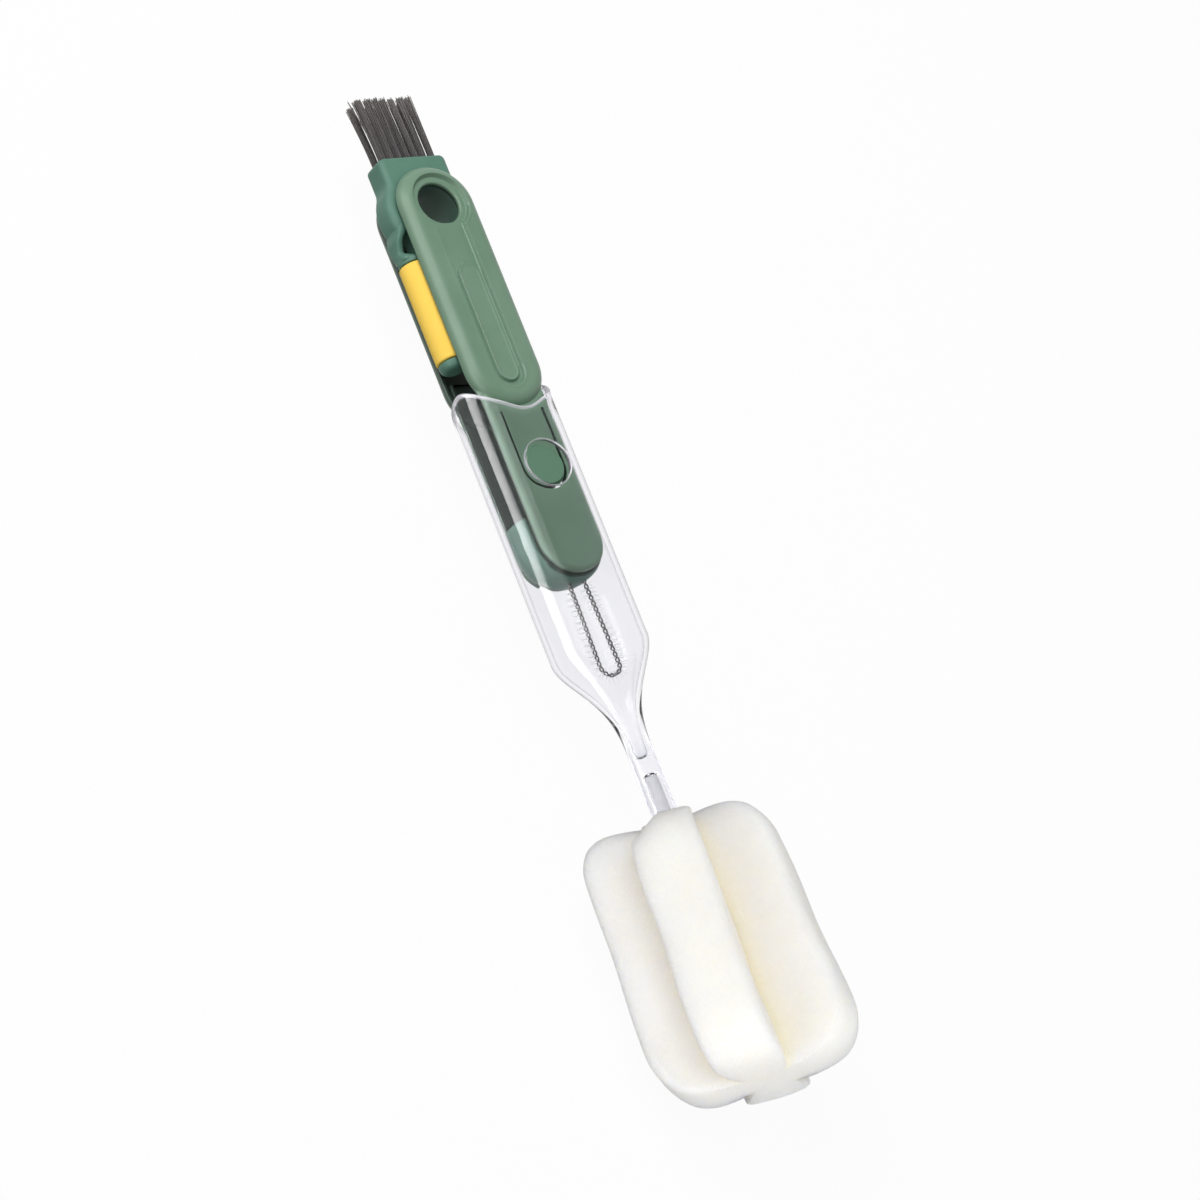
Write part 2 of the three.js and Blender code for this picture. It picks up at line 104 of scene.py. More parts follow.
# Parts joined in one mesh at their places, merged where they meet, faces outwards, smooth but for sharp edges
def makePiece(name, parts, finish, body, replaced, sharpAngle=40, attributes=()):
    starts = np.cumsum([0] + [len(points) for points, _ in parts])
    points = place(np.concatenate([points for points, _ in parts]))
    faces = np.concatenate([cells + start for (_, cells), start in zip(parts, starts)])
    mesh = bpy.data.meshes.new(name)
    mesh.vertices.add(len(points))
    mesh.vertices.foreach_set("co", points.ravel())
    mesh.loops.add(faces.size)
    mesh.loops.foreach_set("vertex_index", faces.ravel().astype(np.int32))
    mesh.polygons.add(len(faces))
    mesh.polygons.foreach_set("loop_start", np.arange(0, faces.size, 4, dtype=np.int32))
    for label, values in attributes:
        mesh.attributes.new(label, "FLOAT", "POINT").data.foreach_set("value", values.astype(np.float32))
    mesh.update(calc_edges=True)
    welded = bmesh.new()
    welded.from_mesh(mesh)
    bmesh.ops.remove_doubles(welded, verts=welded.verts, dist=mergeReach)
    bmesh.ops.recalc_face_normals(welded, faces=welded.faces)
    welded.to_mesh(mesh)
    welded.free()
    mesh.polygons.foreach_set("use_smooth", np.ones(len(mesh.polygons), dtype=bool))
    mesh.set_sharp_from_angle(angle=math.radians(sharpAngle))
    mesh.materials.append(finish)
    piece = bpy.data.objects.new(name, mesh)
    bpy.context.scene.collection.objects.link(piece)
    if body:
        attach(piece, body)
    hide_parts(*replaced)
    print(name, len(mesh.polygons), "faces")
    return piece


# Finishes: a socket that takes part in sums, and the node tree that its nodes go into

class Wire:
    def __init__(self, finish, socket):
        self.finish, self.socket = finish, socket

    def sibling(self, output):         # another output of the same node
        return Wire(self.finish, self.socket.node.outputs[output])

    def reckon(self, operation, first, second):
        return self.finish.add("ShaderNodeMath", {"operation": operation}, {0: first, 1: second})

    def __add__(self, other):
        return self.reckon("ADD", self, other)

    def __radd__(self, other):
        return self.reckon("ADD", other, self)

    def __sub__(self, other):
        return self.reckon("SUBTRACT", self, other)

    def __rsub__(self, other):
        return self.reckon("SUBTRACT", other, self)

    def __mul__(self, other):
        return self.reckon("MULTIPLY", self, other)

    def __rmul__(self, other):
        return self.reckon("MULTIPLY", other, self)

    def __pow__(self, other):
        return self.reckon("POWER", self, other)

    def __rpow__(self, other):
        return self.reckon("POWER", other, self)


class Finish:
    def __init__(self, owner):         # a material, or the world
        owner.use_nodes = True
        self.owner, self.tree = owner, owner.node_tree
        self.tree.nodes.clear()

    def add(self, kind, settings=None, inputs=None, output=0):
        node = self.tree.nodes.new(kind)
        for key, value in (settings or {}).items():
            setattr(node, key, value)
        for key, value in (inputs or {}).items():
            if isinstance(value, Wire):
                self.tree.links.new(value.socket, node.inputs[key])
            else:
                node.inputs[key].default_value = value
        return Wire(self, node.outputs[output]) if len(node.outputs) else None

    def spot(self):                    # object coordinates
        return self.add("ShaderNodeTexCoord", output="Object")

    def attribute(self, label):
        return self.add("ShaderNodeAttribute", {"attribute_name": label}, output="Fac")

    def noise(self, scale, detail, roughness):
        inputs = {"Vector": self.spot(), "Scale": scale, "Detail": detail, "Roughness": roughness}
        return self.add("ShaderNodeTexNoise", None, inputs, output="Fac")

    def cells(self, scale):            # distance to the nearest of many scattered points
        inputs = {"Vector": self.spot(), "Scale": scale}
        return self.add("ShaderNodeTexVoronoi", {"feature": "F1"}, inputs)

    def blend(self, share, first, second):
        settings = {"data_type": "RGBA", "clamp_factor": True}
        return self.add("ShaderNodeMix", settings, {"Factor": share, 6: first, 7: second}, output=2)

    def ease(self, value, low, high, start=0.0, end=1.0):
        settings = {"interpolation_type": "SMOOTHSTEP"}
        inputs = {"Value": value, "From Min": low, "From Max": high, "To Min": start, "To Max": end}
        return self.add("ShaderNodeMapRange", settings, inputs)

    def least(self, first, second):
        return self.add("ShaderNodeMath", {"operation": "MINIMUM"}, {0: first, 1: second})

    def bump(self, height, distance):
        return self.add("ShaderNodeBump", None, {"Height": height, "Distance": distance})

    def either(self, share, first, second):
        return self.add("ShaderNodeMixShader", None, {0: share, 1: first, 2: second})

    def principled(self, **sockets):
        inputs = {key.replace("_", " "): value for key, value in sockets.items()}
        return self.add("ShaderNodeBsdfPrincipled", None, inputs)

    def close(self, shader):
        self.add("ShaderNodeOutputMaterial", None, {"Surface": shader})
        return self.owner


def newFinish(name):
    return Finish(bpy.data.materials.new(name))


# Moulded plastic: slow tone drift, faint grain in the gloss, a fine satin texture and painted shade on the
# faces that the inside attribute marks
satin = dict(drift=(55, 3, 0.55), driftRange=(0.35, 0.7), speck=(1700, 2, 0.6), polish=0.04, grain=0.05,
             texture=0.000018, index=1.46)


def mouldedPlastic(name, colour, deeper, roughness, specular=0.3, inside=None, alpha=1.0):
    finish = newFinish(name)
    drift, speck = finish.noise(*satin["drift"]), finish.noise(*satin["speck"])
    tone = finish.blend(finish.ease(drift, *satin["driftRange"]), colour, deeper)
    # Where the inside attribute is set, the colour darkens to painted shade
    if inside:
        tone = finish.blend(finish.attribute("inside"), tone, inside)
    gloss = roughness - satin["polish"] + (drift + speck) * satin["grain"]
    shader = finish.principled(Base_Color=tone, Roughness=gloss, Normal=finish.bump(speck, satin["texture"]),
                               IOR=satin["index"], Specular_IOR_Level=specular, Alpha=alpha)
    return finish.close(shader)


sageColour, sageDeep = screen(115, 146, 123), screen(107, 139, 115)
tealColour, tealDeep = screen(98, 138, 121), screen(90, 130, 114)
baseColour, baseDeep = screen(104, 140, 127), screen(97, 132, 119)
# The pivot tube's teal is darkened: painted shade for the bore of the hanging hole
tubeShadedColour, tubeShadedDeep = screen(76, 102, 91), screen(66, 92, 82)
coreColour, coreDeep = screen(250, 250, 250), screen(245, 245, 246)
# Painted shade for inner faces, undersides, slot walls and pockets
paintedShade = screen(50, 67, 58)
coverPlastic = mouldedPlastic("sageMoulding", sageColour, sageDeep, 0.38, specular=0.38, inside=paintedShade)
tealPlastic = mouldedPlastic("tealMoulding", tealColour, tealDeep, 0.4, specular=0.15)
basePlastic = mouldedPlastic("baseMoulding", baseColour, baseDeep, 0.4, specular=0.15, inside=paintedShade)
shadedTubePlastic = mouldedPlastic("tubeShadedMoulding", tubeShadedColour, tubeShadedDeep, 0.45)
corePlastic = mouldedPlastic("whiteMoulding", coreColour, coreDeep, 0.4, alpha=0.3)

# Soft yellow: an even colour with a velvety fine grain
velvet = dict(colour=screen(255, 217, 97), deeper=screen(255, 211, 87), drift=(90, 2, 0.5),
              speck=(2200, 3, 0.6), roughness=0.75, grain=0.1, texture=0.00003, index=1.3)


def softYellow():
    finish = newFinish("softYellow")
    drift, speck = finish.noise(*velvet["drift"]), finish.noise(*velvet["speck"])
    tone = finish.blend(drift, velvet["colour"], velvet["deeper"])
    gloss = velvet["roughness"] + speck * velvet["grain"]
    shader = finish.principled(Base_Color=tone, Roughness=gloss, IOR=velvet["index"],
                               Normal=finish.bump(speck, velvet["texture"]))
    return finish.close(shader)


# Nylon hair: dark at the root, greyer at the cut tip, each hair its own tone
def nylonHair(name, root, tip, roughness, alpha=1.0, ownTone=0.5, index=1.5):
    finish = newFinish(name)
    tone = finish.blend(finish.attribute("along"), root, tip)
    tone = finish.blend(finish.attribute("shade") * ownTone, tone, tip)
    shader = finish.principled(Base_Color=tone, Roughness=roughness, IOR=index, Alpha=alpha)
    return finish.close(shader)


# Bright drawn wire: grey metal with fine scratches
drawn = dict(dark=screen(34, 33, 33), bright=screen(92, 91, 90), scratch=(900, 4, 0.7), roughness=0.25,
             grain=0.2)


def drawnWire():
    finish = newFinish("drawnWire")
    scratch = finish.noise(*drawn["scratch"])
    tone = finish.blend(scratch, drawn["dark"], drawn["bright"])
    gloss = drawn["roughness"] + scratch * drawn["grain"]
    return finish.close(finish.principled(Base_Color=tone, Metallic=1.0, Roughness=gloss))


# Clear plastic: passes light, greys where it is seen edge-on, partly for the longer path through it (sooner
# where it is solid) and partly as painted reflection of darker surroundings; it is milky at its cut edges
clear = dict(wall=screen(247, 247, 249), rod=screen(239, 239, 243), edgeOnShade=screen(146, 143, 158),
             edgeRange=(0.4, 0.97), sooner=0.2, ripple=(60, 2, 0.5), texture=0.000003, roughness=0.02,
             index=1.4, gloss=(0.2, 0.2, 0.2, 1.0), milk=screen(236, 233, 242), milkRoughness=0.3,
             milkIndex=1.45, milkShare=0.45, shadow=screen(237, 237, 238))


def clearPlastic():
    finish = newFinish("clearPlastic")
    facing = finish.add("ShaderNodeLayerWeight", None, {"Blend": 0.5}, output="Facing")
    solid = finish.attribute("solid")
    body = finish.blend(solid, clear["wall"], clear["rod"])
    # Painted edge shade: greyer as the surface turns edge-on to the view
    edgeShading = finish.ease(facing + solid * clear["sooner"], *clear["edgeRange"])
    tone = finish.blend(edgeShading, body, clear["edgeOnShade"])
    glass = finish.principled(Base_Color=tone, Roughness=clear["roughness"], IOR=clear["index"],
                              Transmission_Weight=1.0, Specular_Tint=clear["gloss"],
                              Normal=finish.bump(finish.noise(*clear["ripple"]), clear["texture"]))
    milky = finish.principled(Base_Color=clear["milk"], Roughness=clear["milkRoughness"],
                              IOR=clear["milkIndex"])
    edged = finish.either(finish.attribute("brink") * clear["milkShare"], glass, milky)
    passing = finish.add("ShaderNodeBsdfTransparent", None, {"Color": clear["shadow"]})
    rays = finish.add("ShaderNodeLightPath")
    soft = rays.sibling("Is Shadow Ray") + rays.sibling("Is Diffuse Ray")
    return finish.close(finish.either(soft, edged, passing))


# Open foam: pores as two sizes of cells, with painted shade in the pores and a painted warm shade where the
# lobes meet
cream = dict(colour=screen(253, 245, 240), deeper=screen(251, 242, 235), drift=(70, 3, 0.6),
             driftRange=(0.3, 0.75), grooveShadeColour=screen(252, 241, 219), grooveShadeRange=(0.25, 1.0), grooveShadeShare=0.65,
             poreShade=screen(236, 230, 214), poreRange=(0.12, 0.5), poreShare=0.1, poreDepth=0.00025,
             small=1500.0, smallShare=0.6, large=620.0, largeShare=0.4,
             roughness=0.95, scatter=(1.0, 0.93, 0.75), scatterReach=0.014)


def openFoam():
    finish = newFinish("openFoam")
    drift = finish.noise(*cream["drift"])
    small, large = finish.cells(cream["small"]), finish.cells(cream["large"])
    pores = small * cream["smallShare"] + large * cream["largeShare"]
    grooveShading = finish.ease(finish.attribute("groove"), *cream["grooveShadeRange"], 0.0, cream["grooveShadeShare"])
    # Painted shade in the pores: darker near each cell's centre
    poreShading = finish.ease(pores, *cream["poreRange"], cream["poreShare"], 0.0)
    tone = finish.blend(finish.ease(drift, *cream["driftRange"]), cream["colour"], cream["deeper"])
    tone = finish.blend(grooveShading, tone, cream["grooveShadeColour"])
    tone = finish.blend(poreShading, tone, cream["poreShade"])
    shader = finish.principled(Base_Color=tone, Roughness=cream["roughness"],
                               Normal=finish.bump(pores, cream["poreDepth"]), Subsurface_Weight=1.0,
                               Subsurface_Radius=cream["scatter"], Subsurface_Scale=cream["scatterReach"])
    return finish.close(shader)


# Plates: the half with y above 0, from an inner edge out to a rounded outline, mirrored and welded.
# Each column runs straight from an inner point to the outline; rows go over the top, down the wall and back.

def arcSide(middle, radius, start, end, steps, innerRadius=0.0):   # columns round an end, by cosine and sine
    angle = np.linspace(start, end, steps)
    ring = np.stack([np.cos(angle), np.sin(angle)], -1)
    centre = np.array([middle, 0.0])
    return centre + ring * radius, centre + ring * innerRadius


def straightSide(x, half, innerHalf):                              # columns along a straight side
    x = np.asarray(x, float)
    return np.stack([x, np.full_like(x, half)], -1), np.stack([x, np.broadcast_to(innerHalf, x.shape)], -1)


plateRows = dict(edge=12, bend=5, floor=6, floorStep=0.15, shadeTurn=(0.8, 1.45), spine=1e-9)


# The lip, the outer edge and the foot are arcs, by sine and cosine of a turning angle, with the top level or
# given between them; underneath, a hollow is sunk inside a rim
def plate(columns, top, bottom, edge, topHeight=None, innerRound=0.0, footRound=0.2, flatRows=30, cap=None,
          hollow=0.0, rim=1.1, wallShade=0.0, lipShade=0.0):
    outer = np.concatenate([side[0] for side in columns])
    inner = np.concatenate([side[1] for side in columns])
    reachOut = np.linalg.norm(outer - inner, axis=1)
    heading = (outer - inner) / reachOut[:, None]
    deep = min(math.acos(max(1 - (top - bottom - footRound) / edge, 0.0)), quarter)
    turn = np.linspace(0, deep, plateRows["edge"])[1:, None]
    bend = np.linspace(0, quarter, plateRows["bend"])[:, None]
    flat = np.linspace(0, 1, flatRows)[:, None]
    run = reachOut[None, :] - edge
    isOpen = inner[:, 1] > plateRows["spine"]
    near = np.where(isOpen, innerRound, 0.0)[None, :]
    lip = near * (1 - np.cos(bend[:-1])) + 0 * run                  # round the inner edge first
    lipDrop = near * (1 - np.sin(bend[:-1])) + 0 * run
    over = near + (run - near) * flat
    edgeDrop = edge * (1 - np.cos(turn)) + 0 * run
    brink = run + edge * math.sin(deep)
    footTurn = bend[1:]
    floorIn = brink - rim - plateRows["floorStep"] * np.array([[0.0], [1.0], [2.0]])
    away = np.concatenate([
        lip, over, run + edge * np.sin(turn), brink - footRound * (1 - np.cos(footTurn)),
        floorIn, floorIn[-1:] * np.linspace(1, 0, plateRows["floor"])[1:, None],
    ])
    plan = inner[None] + heading[None] * away[:, :, None]
    topCount = len(lip) + len(over)
    edgeCount = topCount + len(edgeDrop)
    footCount = edgeCount + len(footTurn)
    height = np.full(away.shape, float(bottom))
    height[:topCount] = topHeight(plan[:topCount, :, 0], plan[:topCount, :, 1]) if topHeight else top
    height[:len(lip)] -= lipDrop
    height[topCount:edgeCount] = top - edgeDrop
    height[edgeCount:footCount] = bottom + footRound * (1 - np.sin(footTurn))
    height[footCount + 1] = bottom + plateRows["floorStep"] * min(hollow, 1.0)
    height[footCount + 2:] = bottom + hollow                        # shell of even wall, open to the slot
    points = np.concatenate([plan, height[:, :, None]], -1)
    onSpine = ~isOpen
    if cap is not None:                                             # close a straight end on one point
        tip = np.broadcast_to(np.array([cap, 0.0, (top + bottom) / 2]), (len(points), 1, 3))
        points = np.concatenate([points, tip], 1)
        onSpine = np.append(onSpine, True)
    rows, count = points.shape[:2]
    faces = quads(rows, count, loopRows=True).reshape(rows, count - 1, 4)
    keep = np.ones((rows, count - 1), bool)
    keep[-1] = ~(onSpine[:-1] & onSpine[1:])
    half = points.reshape(-1, 3), faces[keep]
    # Painted shade: on the open inner lip, on the outer wall as it turns away, and on every face underneath,
    # the dark gap line at the foot among them
    shade = np.zeros((rows, count))
    shade[:len(lip), :len(isOpen)] = lipShade * isOpen
    shade[topCount:edgeCount] = wallShade * smooth(*plateRows["shadeTurn"], turn)
    shade[edgeCount:] = 1.0
    return [half, mirrored(half, 1)], np.tile(shade.ravel(), 2)


def capsule(x, y, start, end, radius):       # signed distance to a long outline with round ends
    return np.hypot(x - np.clip(x, start, end), y) - radius


grip = dict(radius=12.5, end=64.6, top=9.2, floor=5.0, edge=4.0, hole=6.5, holeRound=0.7, foot=0.6,
            frontHollow=1.6, backHollow=3.0, wallShade=0.7, endSteps=56, sideSteps=140, holeSteps=26,
            flatRows=46)
keyhole = dict(ring=9.0, channel=5.15, channelEnd=59.0, depth=1.25, soft=0.75,
               pad=3.5, padStart=19.7, padEnd=57.0, padHeight=0.75, padSoft=0.45,
               padRidge=0.22, padRidgeIn=0.35, brinkRidge=0.12, brinkRidgeOut=0.25, ridgeWidth=0.38)
leaf = dict(radius=10.1, end=114.8, top=7.3, floor=5.0, edge=1.2, start=50.0, hollow=1.5, wallShade=0.7,
            lip=0.12, rim=0.9, endSteps=40, sideSteps=60, noseSteps=24, bendSteps=20, slitSteps=30,
            rootSteps=24)
latch = dict(root=65.5, half=6.5, slit=0.7, edge=0.25, button=83.0, buttonRadius=6.2, buttonTop=8.5,
             buttonRise=0.5, buttonBlur=0.3, buttonColour=screen(94, 131, 107), roughness=0.4, grain=0.06,
             specular=0.3, bend=(0.3, 5.0), steps=60, flatRows=44)
gripMiddle = grip["end"] - grip["radius"]
leafMiddle = leaf["end"] - leaf["radius"]


# The dished ring and channel lower the front eased by their distance inside the edge; the pad stands in the
# channel; a fine ridge, bell-shaped in the distance from each outline, runs along both
def frontTop(x, y):
    k = keyhole
    channel = capsule(x, y, 0, k["channelEnd"] - k["channel"], k["channel"])
    dish = np.minimum(np.hypot(x, y) - k["ring"], channel)
    pad = capsule(x, y, k["padStart"] + k["pad"], k["padEnd"] - k["pad"], k["pad"])
    return (grip["top"] - k["depth"] * smooth(0, k["soft"], -dish)
            + k["padHeight"] * smooth(-k["padSoft"] / 2, k["padSoft"] / 2, -pad)
            + k["padRidge"] * np.exp(-((pad + k["padRidgeIn"]) / k["ridgeWidth"]) ** 2)
            + k["brinkRidge"] * np.exp(-((dish - k["brinkRidgeOut"]) / k["ridgeWidth"]) ** 2))


# A plate with two round ends, whose inner edge is the hanging hole's half circle and the middle line
def gripShell(hollow, topHeight=None):
    hole, radius = grip["hole"], grip["radius"]
    bend = np.linspace(0, quarter, grip["holeSteps"])
    columns = [
        arcSide(gripMiddle, radius, 0, quarter, grip["endSteps"]),
        straightSide(np.linspace(gripMiddle, hole, grip["sideSteps"])[1:-1], radius, 0.0),
        straightSide(hole * np.cos(bend), radius, hole * np.sin(bend)),
        arcSide(0, radius, quarter, math.pi, grip["endSteps"], hole),
    ]
    columns[-1] = tuple(side[1:] for side in columns[-1])
    return plate(columns, grip["top"], grip["floor"], grip["edge"], topHeight, grip["holeRound"],
                 grip["foot"], grip["flatRows"], hollow=hollow,
                 wallShade=0.0 if topHeight else grip["wallShade"])


# A plate with one round end; where it is opened, its inner edge goes round the latch's slit
def leafShell(opened):
    radius, half = leaf["radius"], latch["half"] + latch["slit"]
    columns = [arcSide(leafMiddle, radius, 0, quarter, leaf["endSteps"])]
    if opened:
        nose = np.linspace(leafMiddle, latch["button"] + half, leaf["noseSteps"])[1:-1]
        bend = np.linspace(0, quarter, leaf["bendSteps"])
        slit = np.linspace(latch["button"], latch["root"], leaf["slitSteps"])[1:]
        root = np.linspace(latch["root"], leaf["start"], leaf["rootSteps"])
        columns += [
            straightSide(nose, radius, 0.0),
            straightSide(latch["button"] + half * np.cos(bend), radius, half * np.sin(bend)),
            straightSide(slit, radius, half),
            straightSide(root, radius, 0.0),
        ]
    else:
        side = np.linspace(leafMiddle, leaf["start"], leaf["sideSteps"])[1:]
        columns.append(straightSide(side, radius, 0.0))
    hollow, wallShade = (0.0, 0.0) if opened else (leaf["hollow"], leaf["wallShade"])
    return plate(columns, leaf["top"], leaf["floor"], leaf["edge"], innerRound=leaf["lip"], cap=leaf["start"],
                 hollow=hollow, rim=leaf["rim"], wallShade=wallShade, lipShade=1.0)


frontGrip, frontGripShade = gripShell(grip["frontHollow"], frontTop)
frontLeaf, frontLeafShade = leafShell(opened=True)
makePiece("frontCover", frontGrip + frontLeaf, coverPlastic, "gap_tool", ["front_cover"],
          attributes=[("inside", np.append(frontGripShade, frontLeafShade))])
backGrip, backGripShade = gripShell(grip["backHollow"])
backLeaf, backLeafShade = leafShell(opened=False)
makePiece("backCover", [mirrored(part, 2) for part in backGrip + backLeaf], coverPlastic, "gap_tool",
          ["back_cover"], attributes=[("inside", np.append(backGripShade, backLeafShade))])


# Button face greener than the tongue that carries it: the tone changes at the button's radius
def latchPlastic():
    finish = newFinish("latchMoulding")
    buttonX = float(place(np.array([latch["button"], 0, 0]))[0])
    spot = finish.add("ShaderNodeSeparateXYZ", None, {0: finish.spot()})
    along, across = spot - buttonX, spot.sibling("Y")
    away = (along * along + across * across) ** 0.5
    radius, blur = latch["buttonRadius"], latch["buttonBlur"]
    onButton = finish.ease(away, radius * mm, (radius + blur) * mm, 1.0, 0.0)
    drift, speck = finish.noise(*satin["drift"]), finish.noise(*satin["speck"])
    tone = finish.blend(finish.ease(drift, *satin["driftRange"]), sageColour, sageDeep)
    tone = finish.blend(onButton, tone, latch["buttonColour"])
    # Painted shade on the tongue's walls and underside, where the inside attribute is set
    tone = finish.blend(finish.attribute("inside"), tone, paintedShade)
    gloss = latch["roughness"] + speck * latch["grain"]
    shader = finish.principled(Base_Color=tone, Roughness=gloss, Normal=finish.bump(speck, satin["texture"]),
                               IOR=satin["index"], Specular_IOR_Level=latch["specular"])
    return finish.close(shader)


# Tongue: level with the leaf, eased up to the button's flat face by the distance inside its rim
def tongueTop(x, y):
    away = np.hypot(x - latch["button"], y)
    return mix(leaf["top"], latch["buttonTop"], smooth(0, latch["buttonRise"], latch["buttonRadius"] - away))


tongueColumns = [
    arcSide(latch["button"], latch["half"], 0, quarter, latch["steps"]),
    straightSide(np.linspace(latch["button"], latch["root"], latch["steps"])[1:], latch["half"], 0.0),
]
tongue, tongueShade = plate(tongueColumns, leaf["top"], leaf["floor"], latch["edge"], tongueTop,
                            flatRows=latch["flatRows"], cap=latch["root"], wallShade=1.0)
latchTongue = makePiece("latchTongue", tongue, latchPlastic(), None, ["latch_tongue"],
                        attributes=[("inside", tongueShade)])
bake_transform(latchTongue)


# Turned pieces: a profile of [along, radius] carried round an axis

# An open line of [a, b, reach] corners, each rounded by a parabola that starts and ends that far from it
def fillet(corners, steps=6):
    points = np.array([corner[:2] for corner in corners], float)
    t = np.linspace(0, 1, steps)[:, None]
    line = [points[0]]
    for i in range(1, len(corners) - 1):
        reach = corners[i][2]
        before = (points[i - 1] - points[i]) / np.linalg.norm(points[i - 1] - points[i])
        after = (points[i + 1] - points[i]) / np.linalg.norm(points[i + 1] - points[i])
        bend = points[i] + reach * (before * (1 - t) ** 2 + after * t ** 2)
        line.extend(bend if reach else [points[i]])
    return np.array(line + [points[-1]])


def turned(profile, y=0.0, sides=72, upright=False):           # the radius times cosine and sine of each turn
    turn = around(sides)[None, :]
    along, radius = profile[:, :1], profile[:, 1:]
    first, second = radius * np.cos(turn), radius * np.sin(turn)
    along = along + 0 * first
    points = [first, second, along] if upright else [along, first + y, second]
    return surface(np.stack(points, -1), loopColumns=True)


sleeve = dict(start=15.1, end=45.5, radius=4.6, bore=2.8, offset=-10.4, soft=0.7)
cap = dict(gap=0.3, length=2.7, radius=4.3, seatRound=0.35, dome=2.2, domeSteps=10)
tube = dict(radius=8.2, bore=6.5, half=5.9, sides=120)

sleeveLine = fillet([[sleeve["start"], sleeve["bore"]], [sleeve["start"], sleeve["radius"], sleeve["soft"]],
                     [sleeve["end"], sleeve["radius"], sleeve["soft"]], [sleeve["end"], sleeve["bore"]]])
sleeveLine = np.concatenate([sleeveLine, sleeveLine[:1]])
wipeSleeve = makePiece("wipeSleeve", [turned(sleeveLine, sleeve["offset"])], softYellow(), "arm",
                       ["wipe_sleeve"])

capStart = sleeve["end"] + cap["gap"]
capEnd = capStart + cap["length"]
capLine = fillet([[capStart, 0], [capStart, cap["radius"], cap["seatRound"]],
                  [capEnd, cap["radius"], cap["dome"]], [capEnd, 0]], cap["domeSteps"])
makePiece("sleeveCap", [turned(capLine, sleeve["offset"])], tealPlastic, "arm",
          ["sleeve_cap"])

tubeLine = np.array([[-tube["half"], tube["bore"]], [tube["half"], tube["bore"]],
                     [tube["half"], tube["radius"]], [-tube["half"], tube["radius"]],
                     [-tube["half"], tube["bore"]]])
makePiece("pivotTube", [turned(tubeLine, sides=tube["sides"], upright=True)], shadedTubePlastic, "gap_tool",
          ["pivot_tube"])


# Base: fills the slot between the leaves and stands up as a rounded nose past their ends
base = dict(start=96.4, end=116.2, radius=11.7, top=6.2, slotTop=4.7, edge=4.6, seam=0.55,
            seamRange=(-0.05, 0.1), sunkBy=0.2, endSteps=60, sideSteps=24, topRows=40, edgeRows=16)


def baseTop(x, y):                           # a step up at a seam's distance outside the leaf's outline
    pocket = capsule(x, y, 0, leafMiddle, leaf["radius"] + base["seam"])
    return mix(base["slotTop"], base["top"], smooth(*base["seamRange"], pocket))


# Out from the middle line to a round-ended outline, with a quarter arc as edge, and the same below
def baseShell():
    middle, radius = base["end"] - base["radius"], base["radius"]
    columns = [arcSide(middle, radius, 0, quarter, base["endSteps"]),
               straightSide(np.linspace(middle, base["start"], base["sideSteps"])[1:], radius, 0.0)]
    outer = np.concatenate([side[0] for side in columns])
    inner = np.concatenate([side[1] for side in columns])
    share = np.linspace(0, 1, base["topRows"])[:, None]
    turn = np.linspace(0, quarter, base["edgeRows"])[1:, None]
    away = np.concatenate([(radius - base["edge"]) * share, radius - base["edge"] * (1 - np.sin(turn))])
    plan = mix(inner[None], outer[None], (away / radius)[:, :, None])
    fall = np.concatenate([0 * share, base["edge"] * (1 - np.cos(turn))])
    height = np.minimum(baseTop(plan[..., 0], plan[..., 1]), base["top"] - fall)
    half = np.concatenate([plan, height[..., None]], -1)
    under = half[::-1] * np.array([1, 1, -1])
    loop = np.concatenate([half, under])
    tip = np.broadcast_to(np.array([base["start"], 0.0, 0.0]), (len(loop), 1, 3))
    part = surface(np.concatenate([loop, tip], 1))
    x, y, z = part[0].T
    # Painted shade in the pocket round the leaves' ends: the upper faces below the full top
    sunk = (z > 0) & (baseTop(x, y) < base["top"] - base["sunkBy"])
    return [part, mirrored(part, 1)], np.tile(sunk, 2).astype(float)


baseParts, baseShade = baseShell()
makePiece("baseBlock", baseParts, basePlastic, "gap_tool", ["base_block"],
          attributes=[("inside", baseShade)])
print("gap tool done")


# Flip arm: rays from a middle point out to an outline that shrinks towards the top and bottom

# How far out along each ray a signed distance changes sign, found by halving
def rayLength(centre, angle, height, distance, far, near=0.01, halvings=34):
    low = np.full(np.broadcast(angle, height).shape, float(near))
    high = np.full(low.shape, float(far))
    for _ in range(halvings):
        half = (low + high) / 2
        outside = distance(centre[0] + half * np.cos(angle), centre[1] + half * np.sin(angle), height) > 0
        low, high = np.where(outside, low, half), np.where(outside, half, high)
    return (low + high) / 2


def rounding(height, top, edge):             # how far an edge of that radius has turned in at a height
    over = np.clip(np.abs(height) - (top - edge), 0, edge)
    return edge - np.sqrt(edge * edge - over * over)


# Rows go up the wall at the heights of a quarter arc, in over the top, down the bore and out again below
def rayBody(centre, outside, inside, top, edge, far, sides=420, levels=9, capRows=14):
    angle = around(sides)[None, :]
    bend = np.linspace(0, quarter, levels)[:, None]
    height = np.concatenate([-(top - edge) - edge * np.sin(bend[::-1]), (top - edge) + edge * np.sin(bend)])
    outer = rayLength(centre, angle, height, outside, far)
    walls = np.array([[top], [-top]])
    inner = rayLength(centre, angle, walls, inside, far)
    share = np.linspace(0, 1, capRows)[1:-1, None]
    over, under = mix(outer[-1:], inner[:1], share), mix(inner[1:], outer[:1], share)
    length = np.concatenate([outer, over, inner, under])
    level = np.concatenate([height, np.full_like(share, top), walls, np.full_like(share, -top)])
    points = np.stack([centre[0] + length * np.cos(angle), centre[1] + length * np.sin(angle),
                       level + 0 * length], -1)
    return surface(points, loopRows=True, loopColumns=True)


